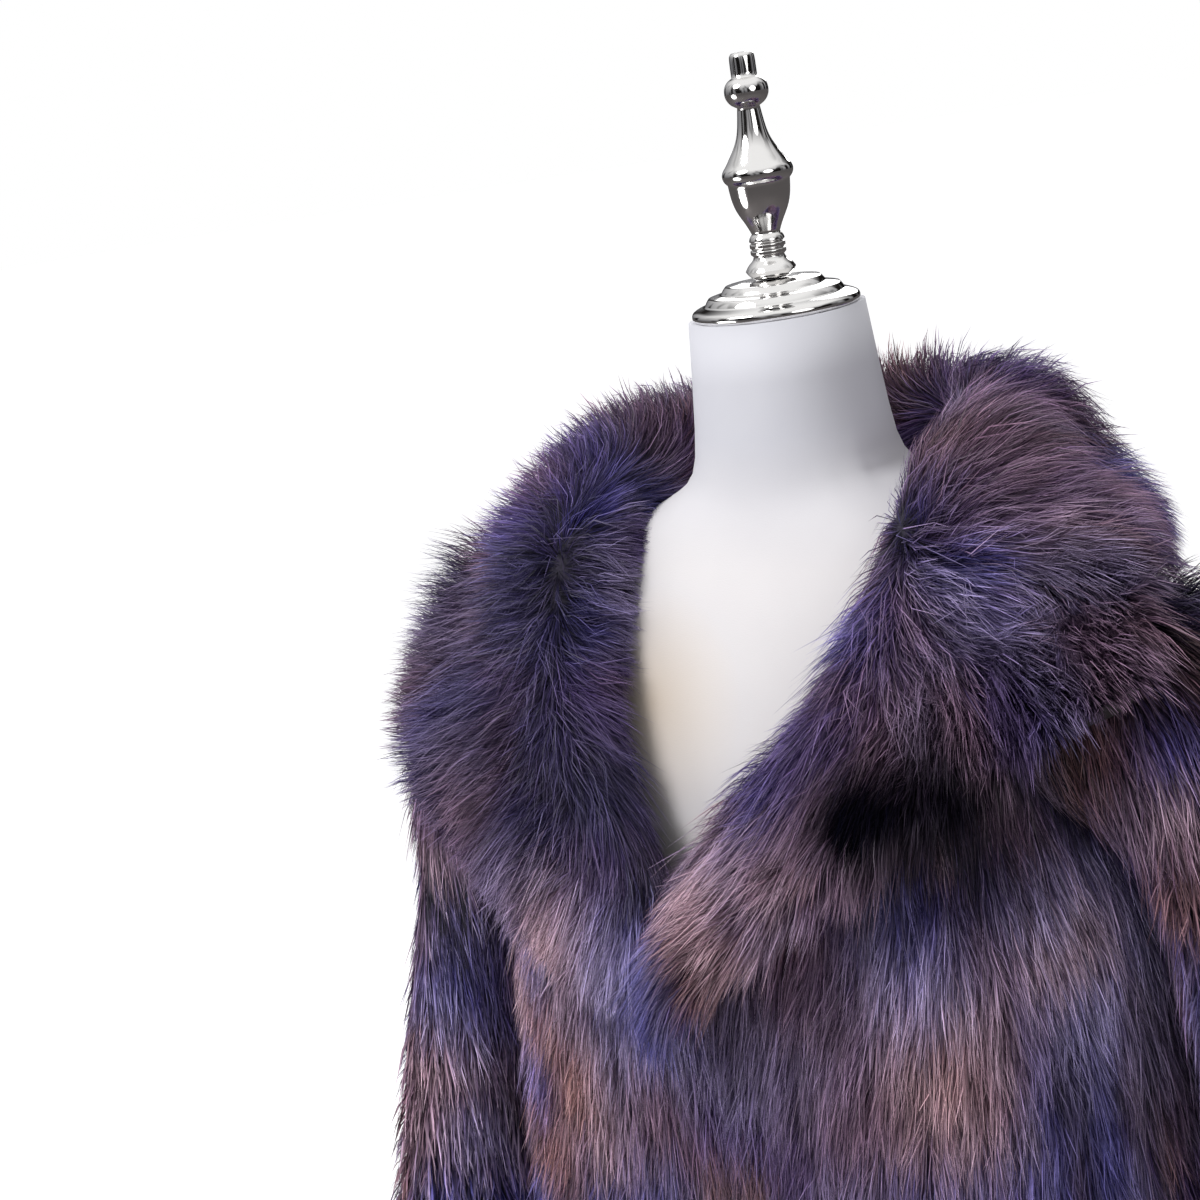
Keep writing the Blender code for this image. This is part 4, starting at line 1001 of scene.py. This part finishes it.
def scatter(tree, given):
    growth = number(tree, "MULTIPLY", named(tree, "thick"), given["Hairs per square metre"])
    roots = add(tree, "GeometryNodeDistributePointsOnFaces",
                {"Mesh": given["Ground"], "Density": growth, "Seed": given["Seed"]}).outputs["Points"]
    here = add(tree, "GeometryNodeInputPosition").outputs[0]
    roots = keep(tree, roots, "path_0", here, "FLOAT_VECTOR")
    for name, whole, share, limits in (("long", "reach", "Long", LONG_RANGE),
                                       ("high", "lift", "High", HIGH_RANGE)):
        size = number(tree, "MULTIPLY", named(tree, whole), given[share])
        roots = keep(tree, roots, name, number(tree, "MULTIPLY", size, chance(tree, given, name, *limits)))
    long = named(tree, "long")
    slant = number(tree, "SUBTRACT", number(tree, "POWER", long, 2.0),
                   number(tree, "POWER", named(tree, "high"), 2.0))
    least = number(tree, "MULTIPLY", long, LEAST_FLAT)
    return keep(tree, roots, "flat", number(tree, "MAXIMUM", number(tree, "SQRT", slant), least))


def walk(tree, given, roots, steps):
    ground = given["Ground"]
    here = add(tree, "GeometryNodeInputPosition").outputs[0]
    for step in range(1, steps + 1):
        start = arrow(tree, f"path_{step - 1}")
        ripple = add(tree, "ShaderNodeTexNoise", {"Vector": start, "Scale": RIPPLES}).outputs["Color"]
        mess = number(tree, "MULTIPLY_ADD", named(tree, "mess"), MESSIEST, 1.0)
        amount = number(tree, "MULTIPLY", given["Ripple"], mess)
        aside = vector(tree, "SCALE", vector(tree, "SUBTRACT", ripple, MEAN_NOISE), amount)
        lies = at_nearest(tree, ground, arrow(tree, "flow"), start)
        way = vector(tree, "NORMALIZE", vector(tree, "ADD", lies, aside))
        stride = number(tree, "DIVIDE", named(tree, "flat"), float(steps))
        ahead = vector(tree, "ADD", start, vector(tree, "SCALE", way, stride))
        foot = at_nearest(tree, ground, here, ahead)
        above = at_nearest(tree, ground, arrow(tree, "up"), ahead)
        risen = vector(tree, "DOT_PRODUCT", vector(tree, "SUBTRACT", ahead, foot), above)
        wanted = number(tree, "MULTIPLY", named(tree, "high"), HEIGHTS[steps][step - 1])
        lift = vector(tree, "SCALE", above, number(tree, "SUBTRACT", wanted, risen))
        roots = keep(tree, roots, f"path_{step}", vector(tree, "ADD", ahead, lift), "FLOAT_VECTOR")
    tip = arrow(tree, f"path_{steps}")
    for dye in ("soft", "tips"):
        roots = keep(tree, roots, dye, at_nearest(tree, ground, arrow(tree, dye), tip), "FLOAT_VECTOR")
    return keep(tree, roots, "guard", given["Guard"])


print("roots are long", LONG_RANGE, "and high", HIGH_RANGE, "of what their ground says")

# %% [markdown]
# Then neighbours are drawn together into locks, small ones within large ones, the more so towards the tips,
# and each hair strays a little by itself. The cells of a Voronoi texture say which hairs are neighbours: all
# the roots in one cell are pulled towards its middle, but not up or down.

# %% Draw the hairs together into locks
WIDE_RANGE = (0.7, 1.3)


def gather(tree, given, roots):
    root = arrow(tree, "path_0")
    up = arrow(tree, "up")
    drawn = []
    for lock in ("Large", "Small"):
        size = given[lock + " lock"]
        cell = add(tree, "ShaderNodeTexVoronoi", {"Vector": vector(tree, "DIVIDE", root, size), "Scale": 1.0})
        aside = vector(tree, "SUBTRACT", vector(tree, "MULTIPLY", cell.outputs["Position"], size), root)
        out = vector(tree, "SCALE", up, vector(tree, "DOT_PRODUCT", aside, up))
        drawn.append(vector(tree, "SCALE", vector(tree, "SUBTRACT", aside, out), given[lock + " pull"]))
    tone = add(tree, "FunctionNodeSeparateColor", {0: cell.outputs["Color"]}).outputs[0]
    roots = keep(tree, roots, "lock_tone", tone)
    stray = number(tree, "MULTIPLY", named(tree, "long"), given["Stray"])
    astray = vector(tree, "SCALE", chance(tree, given, "astray", (-1, -1, -1), (1, 1, 1)), stray)
    roots = keep(tree, roots, "drawn", vector(tree, "ADD", *drawn), "FLOAT_VECTOR")
    roots = keep(tree, roots, "astray", astray, "FLOAT_VECTOR")
    roots = keep(tree, roots, "tone", chance(tree, given, "tone", 0.0, 1.0))
    roots = keep(tree, roots, "turn", chance(tree, given, "turn", -1.0, 1.0))
    wide = number(tree, "DIVIDE", chance(tree, given, "wide", *WIDE_RANGE),
                  number(tree, "SQRT", named(tree, "thick")))
    roots = keep(tree, roots, "wide", wide)
    return keep(tree, roots, "number", add(tree, "GeometryNodeInputIndex").outputs[0], "INT")


print("hairs are", WIDE_RANGE, "of their width")

# %% [markdown]
# At last a ribbon is copied to every root and bent to its path. It is turned about its length by a random
# angle, so that some ribbons catch the light and others don't. A second map gives every hair its own small
# cell of a square, in rows and columns, for whoever wants to paint the colours on a picture.

# %% Bend the ribbons and give each a cell of its own
TAPER = {1: (1.0, 0.0), 2: (0.75, 1.0, 0.0)}
LOCK_BEND = 1.4
STRAY_BEND = 1.2
CELL_LENGTH, CELL_WIDTH = 0.8, 0.35
CELL_START, CELL_MIDDLE = 0.1, 0.5


def by_step(tree, kind, values):
    """A switch that gives each point of a ribbon the value of its own step."""
    switch = add(tree, "GeometryNodeIndexSwitch", data_type=kind)
    while len(switch.index_switch_items) < len(values):
        switch.index_switch_items.new()
    fill(switch, {0: named(tree, "step")})
    fill(switch, {i + 1: value for i, value in enumerate(values)})
    return switch.outputs[0]


def bend(tree, given, roots, steps):
    one = add(tree, "GeometryNodeObjectInfo", {"Object": given["Ribbon"]}).outputs["Geometry"]
    copies = add(tree, "GeometryNodeInstanceOnPoints", {"Points": roots, "Instance": one}).outputs[0]
    hairs = add(tree, "GeometryNodeRealizeInstances", {0: copies}).outputs[0]
    path = [arrow(tree, f"path_{i}") for i in range(steps + 1)]
    along = named(tree, "along")
    to_lock = vector(tree, "SCALE", arrow(tree, "drawn"), number(tree, "POWER", along, LOCK_BEND))
    to_side = vector(tree, "SCALE", arrow(tree, "astray"), number(tree, "POWER", along, STRAY_BEND))
    middle = vector(tree, "ADD", by_step(tree, "VECTOR", path), vector(tree, "ADD", to_lock, to_side))
    tangent = vector(tree, "NORMALIZE", vector(tree, "SUBTRACT", path[-1], path[0]))
    broad = vector(tree, "NORMALIZE", vector(tree, "CROSS_PRODUCT", arrow(tree, "up"), tangent))
    edge = vector(tree, "CROSS_PRODUCT", tangent, broad)
    angle = number(tree, "MULTIPLY", named(tree, "turn"), given["Twist"])
    facing = vector(tree, "ADD", vector(tree, "SCALE", broad, number(tree, "COSINE", angle)),
                    vector(tree, "SCALE", edge, number(tree, "SINE", angle)))
    half = number(tree, "MULTIPLY", number(tree, "MULTIPLY", given["Hair width"], 0.5),
                  number(tree, "MULTIPLY", named(tree, "wide"), by_step(tree, "FLOAT", TAPER[steps])))
    sideways = vector(tree, "SCALE", facing, number(tree, "MULTIPLY", half, named(tree, "side")))
    place = vector(tree, "ADD", middle, sideways)
    return add(tree, "GeometryNodeSetPosition", {"Geometry": hairs, "Position": place}).outputs[0]


def lay_out(tree, roots, hairs):
    size = add(tree, "GeometryNodeAttributeDomainSize", {0: roots}, component="POINTCLOUD")
    across = number(tree, "CEIL", number(tree, "SQRT", size.outputs["Point Count"]))
    index = named(tree, "number", "INT")
    column = number(tree, "MODULO", index, across)
    row = number(tree, "FLOOR", number(tree, "DIVIDE", index, across))
    inside = number(tree, "MULTIPLY_ADD", named(tree, "along"), CELL_LENGTH, CELL_START)
    beside = number(tree, "MULTIPLY_ADD", named(tree, "side"), CELL_WIDTH, CELL_MIDDLE)
    u = number(tree, "DIVIDE", number(tree, "ADD", column, inside), across)
    v = number(tree, "DIVIDE", number(tree, "ADD", row, beside), across)
    cell = add(tree, "ShaderNodeCombineXYZ", {0: u, 1: v}).outputs[0]
    return keep(tree, hairs, "OFBake", cell, "FLOAT2", "CORNER")


def hair_tree(steps):
    tree, names = new_tree(f"hair in {steps} steps")
    given = add(tree, "NodeGroupInput").outputs
    roots = gather(tree, given, walk(tree, given, scatter(tree, given), steps))
    hairs = lay_out(tree, roots, bend(tree, given, roots, steps))
    hairs = add(tree, "GeometryNodeSetMaterial", {"Geometry": hairs, "Material": given["Hair"]}).outputs[0]
    add(tree, "NodeGroupOutput", {0: hairs})
    return tree, names


TREES = {steps: hair_tree(steps) for steps in (1, 2)}
print("trees:", [tree.name for tree, _ in TREES.values()])

# %% [markdown]
# ## The colour of a hair
#
# A dyed hair is painted nearly black at the root, as painted shade deep in the fur, and takes its colour
# further up. Guard hair goes on to the paler colour of its tips, and underfur hardly does. Hairs differ from
# their neighbours, and locks from locks. The soft gloss comes from the shader, the tiny facets of the ribbons
# break it up, and hair painted black as shade has none.

# %% Make the hair's material
# painted shade deep in the fur, at the root of every hair
ROOT_SHADE = (0.005, 0.004, 0.012)
MEAN_COLOUR = (0.1, 0.07, 0.14)
MEAN_ROUGHNESS = 0.5
TONES = (0.5, 1.5)
SHADE_LIFTS_FROM, SHADE_LIFTS_TO = 0.0, 0.5
PALE_FROM, PALE_TO = 0.3, 0.95
UNDERFUR_PALE, GUARD_PALE = 0.12, 0.9
UNDERFUR_ROUGH, GUARD_ROUGH = 0.65, 0.45
GLOSS = 0.28
GLOSSY_FROM = 0.15


def hair_material():
    made, tree, shader = plain_material("dyed hair", MEAN_COLOUR, MEAN_ROUGHNESS)

    def read(name, output="Fac"):
        return add(tree, "ShaderNodeAttribute", attribute_name=name).outputs[output]

    along = read("along")
    guard = read("guard")
    tips = read("tips", "Vector")
    strength = number(tree, "MULTIPLY", remap(tree, read("tone"), 0, 1, *TONES),
                      remap(tree, read("lock_tone"), 0, 1, *TONES))
    out_of_root_shade = remap(tree, along, SHADE_LIFTS_FROM, SHADE_LIFTS_TO)
    pale = number(tree, "MULTIPLY", remap(tree, along, PALE_FROM, PALE_TO),
                  remap(tree, guard, 0, 1, UNDERFUR_PALE, GUARD_PALE))
    # painted shade at the root, which goes over to the hair's own colour further up
    body = blend(tree, out_of_root_shade, (*ROOT_SHADE, 1), vector(tree, "SCALE", read("soft", "Vector"), strength))
    fill(shader, {
        "Base Color": blend(tree, pale, body, vector(tree, "SCALE", tips, strength)),
        "Roughness": remap(tree, guard, 0, 1, UNDERFUR_ROUGH, GUARD_ROUGH),
        # hair painted black as shade loses its gloss, which makes that painted shade darker
        "Specular IOR Level": remap(tree, vector(tree, "LENGTH", tips), 0, GLOSSY_FROM, 0.0, GLOSS),
    })
    return made


hair = hair_material()
print("material:", hair.name)

# %% [markdown]
# ## Growing
#
# A pelt has two layers, so each ground is grown over twice: thick, short underfur that hides the skin, and
# longer, glossier guard hair over it. Where the coat is seen from afar or from behind, fewer and wider hairs
# do.

# %% Grow the hair
Layer = namedtuple("Layer", "steps share width long high guard large_pull small_pull stray")
LAYERS = {
    "underfur": Layer(1, 1.00, 1.25, 0.72, 0.80, 0.0, 0.18, 0.22, 0.14),
    "guard_hair": Layer(2, 0.40, 0.85, 1.00, 1.00, 1.0, 0.25, 0.36, 0.10),
}
Growth = namedtuple("Growth", "per_square_metre width locks seed")
GROWTHS = {
    "coat_collar_left": Growth(960000, 0.00058, 1.0, 11),
    "coat_collar_right": Growth(915000, 0.00058, 1.0, 12),
    "coat_front_left": Growth(665000, 0.00064, 1.5, 13),
    "coat_front_right": Growth(545000, 0.00067, 1.5, 14),
    "coat_sleeve_left": Growth(390000, 0.00076, 1.5, 15),
    "coat_sleeve_right": Growth(505000, 0.00071, 1.4, 16),
    "coat_back": Growth(220000, 0.00092, 1.3, 17),
}
LARGE_LOCK = 0.024
SMALL_LOCK = 0.007
RIPPLE = 1.1
TWIST = 1.1
SEEDS_APART = 10
USED_UP = ("path_0", "path_1", "path_2", "long", "flat", "high", "drawn", "astray", "turn", "wide", "number",
           "step", "side", "flow", "up", "lift", "reach", "thick", "mess", "room")


def grow(name, growth, kind, layer):
    tree, names = TREES[layer.steps]
    piece = GROUNDS[name].piece
    share = 1.0
    modifier = piece.modifiers.new("hair", "NODES")
    modifier.node_group = tree
    settings = {
        "Ribbon": RIBBONS[layer.steps],
        "Hair": hair,
        "Hairs per square metre": growth.per_square_metre * layer.share * share,
        "Hair width": growth.width * layer.width / math.sqrt(share),
        "Long": layer.long,
        "High": layer.high,
        "Guard": layer.guard,
        "Large lock": LARGE_LOCK,
        "Small lock": SMALL_LOCK,
        "Large pull": layer.large_pull * growth.locks,
        "Small pull": layer.small_pull * growth.locks,
        "Stray": layer.stray,
        "Ripple": RIPPLE,
        "Twist": TWIST,
        "Seed": growth.seed + SEEDS_APART * layer.steps,
    }
    for label, value in settings.items():
        modifier[names[label]] = value
    graph = bpy.context.evaluated_depsgraph_get()
    mesh = bpy.data.meshes.new_from_object(piece.evaluated_get(graph))
    piece.modifiers.clear()
    for used in USED_UP:
        if used in mesh.attributes:
            mesh.attributes.remove(mesh.attributes[used])
    mesh.shade_smooth()
    made = bpy.data.objects.new(f"{name}_{kind}", mesh)
    scene.collection.objects.link(made)
    return made


HAIR = {name: [grow(name, growth, kind, layer) for kind, layer in LAYERS.items()]
        for name, growth in GROWTHS.items()}
total = 0
for layers in HAIR.values():
    counts = {made.name: sum(len(f.vertices) - 2 for f in made.data.polygons) for made in layers}
    total += sum(counts.values())
    print(counts)
print("hair in all:", total, "triangles")
for spare in [ground.piece for ground in GROUNDS.values()] + list(RIBBONS.values()):
    bpy.data.objects.remove(spare)

# %% [markdown]
# ## Put the skins in place of the solids
#
# Every skin stands for its solid, which is hidden, and the skin and its hair hang from the same root.

# %% Hang the pieces and their hair from the root
Cut = namedtuple("Cut", "width length area")
for name, piece in PIECES.items():
    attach(piece, "root")
    for layer in HAIR[name]:
        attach(layer, "root")
    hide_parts(name)
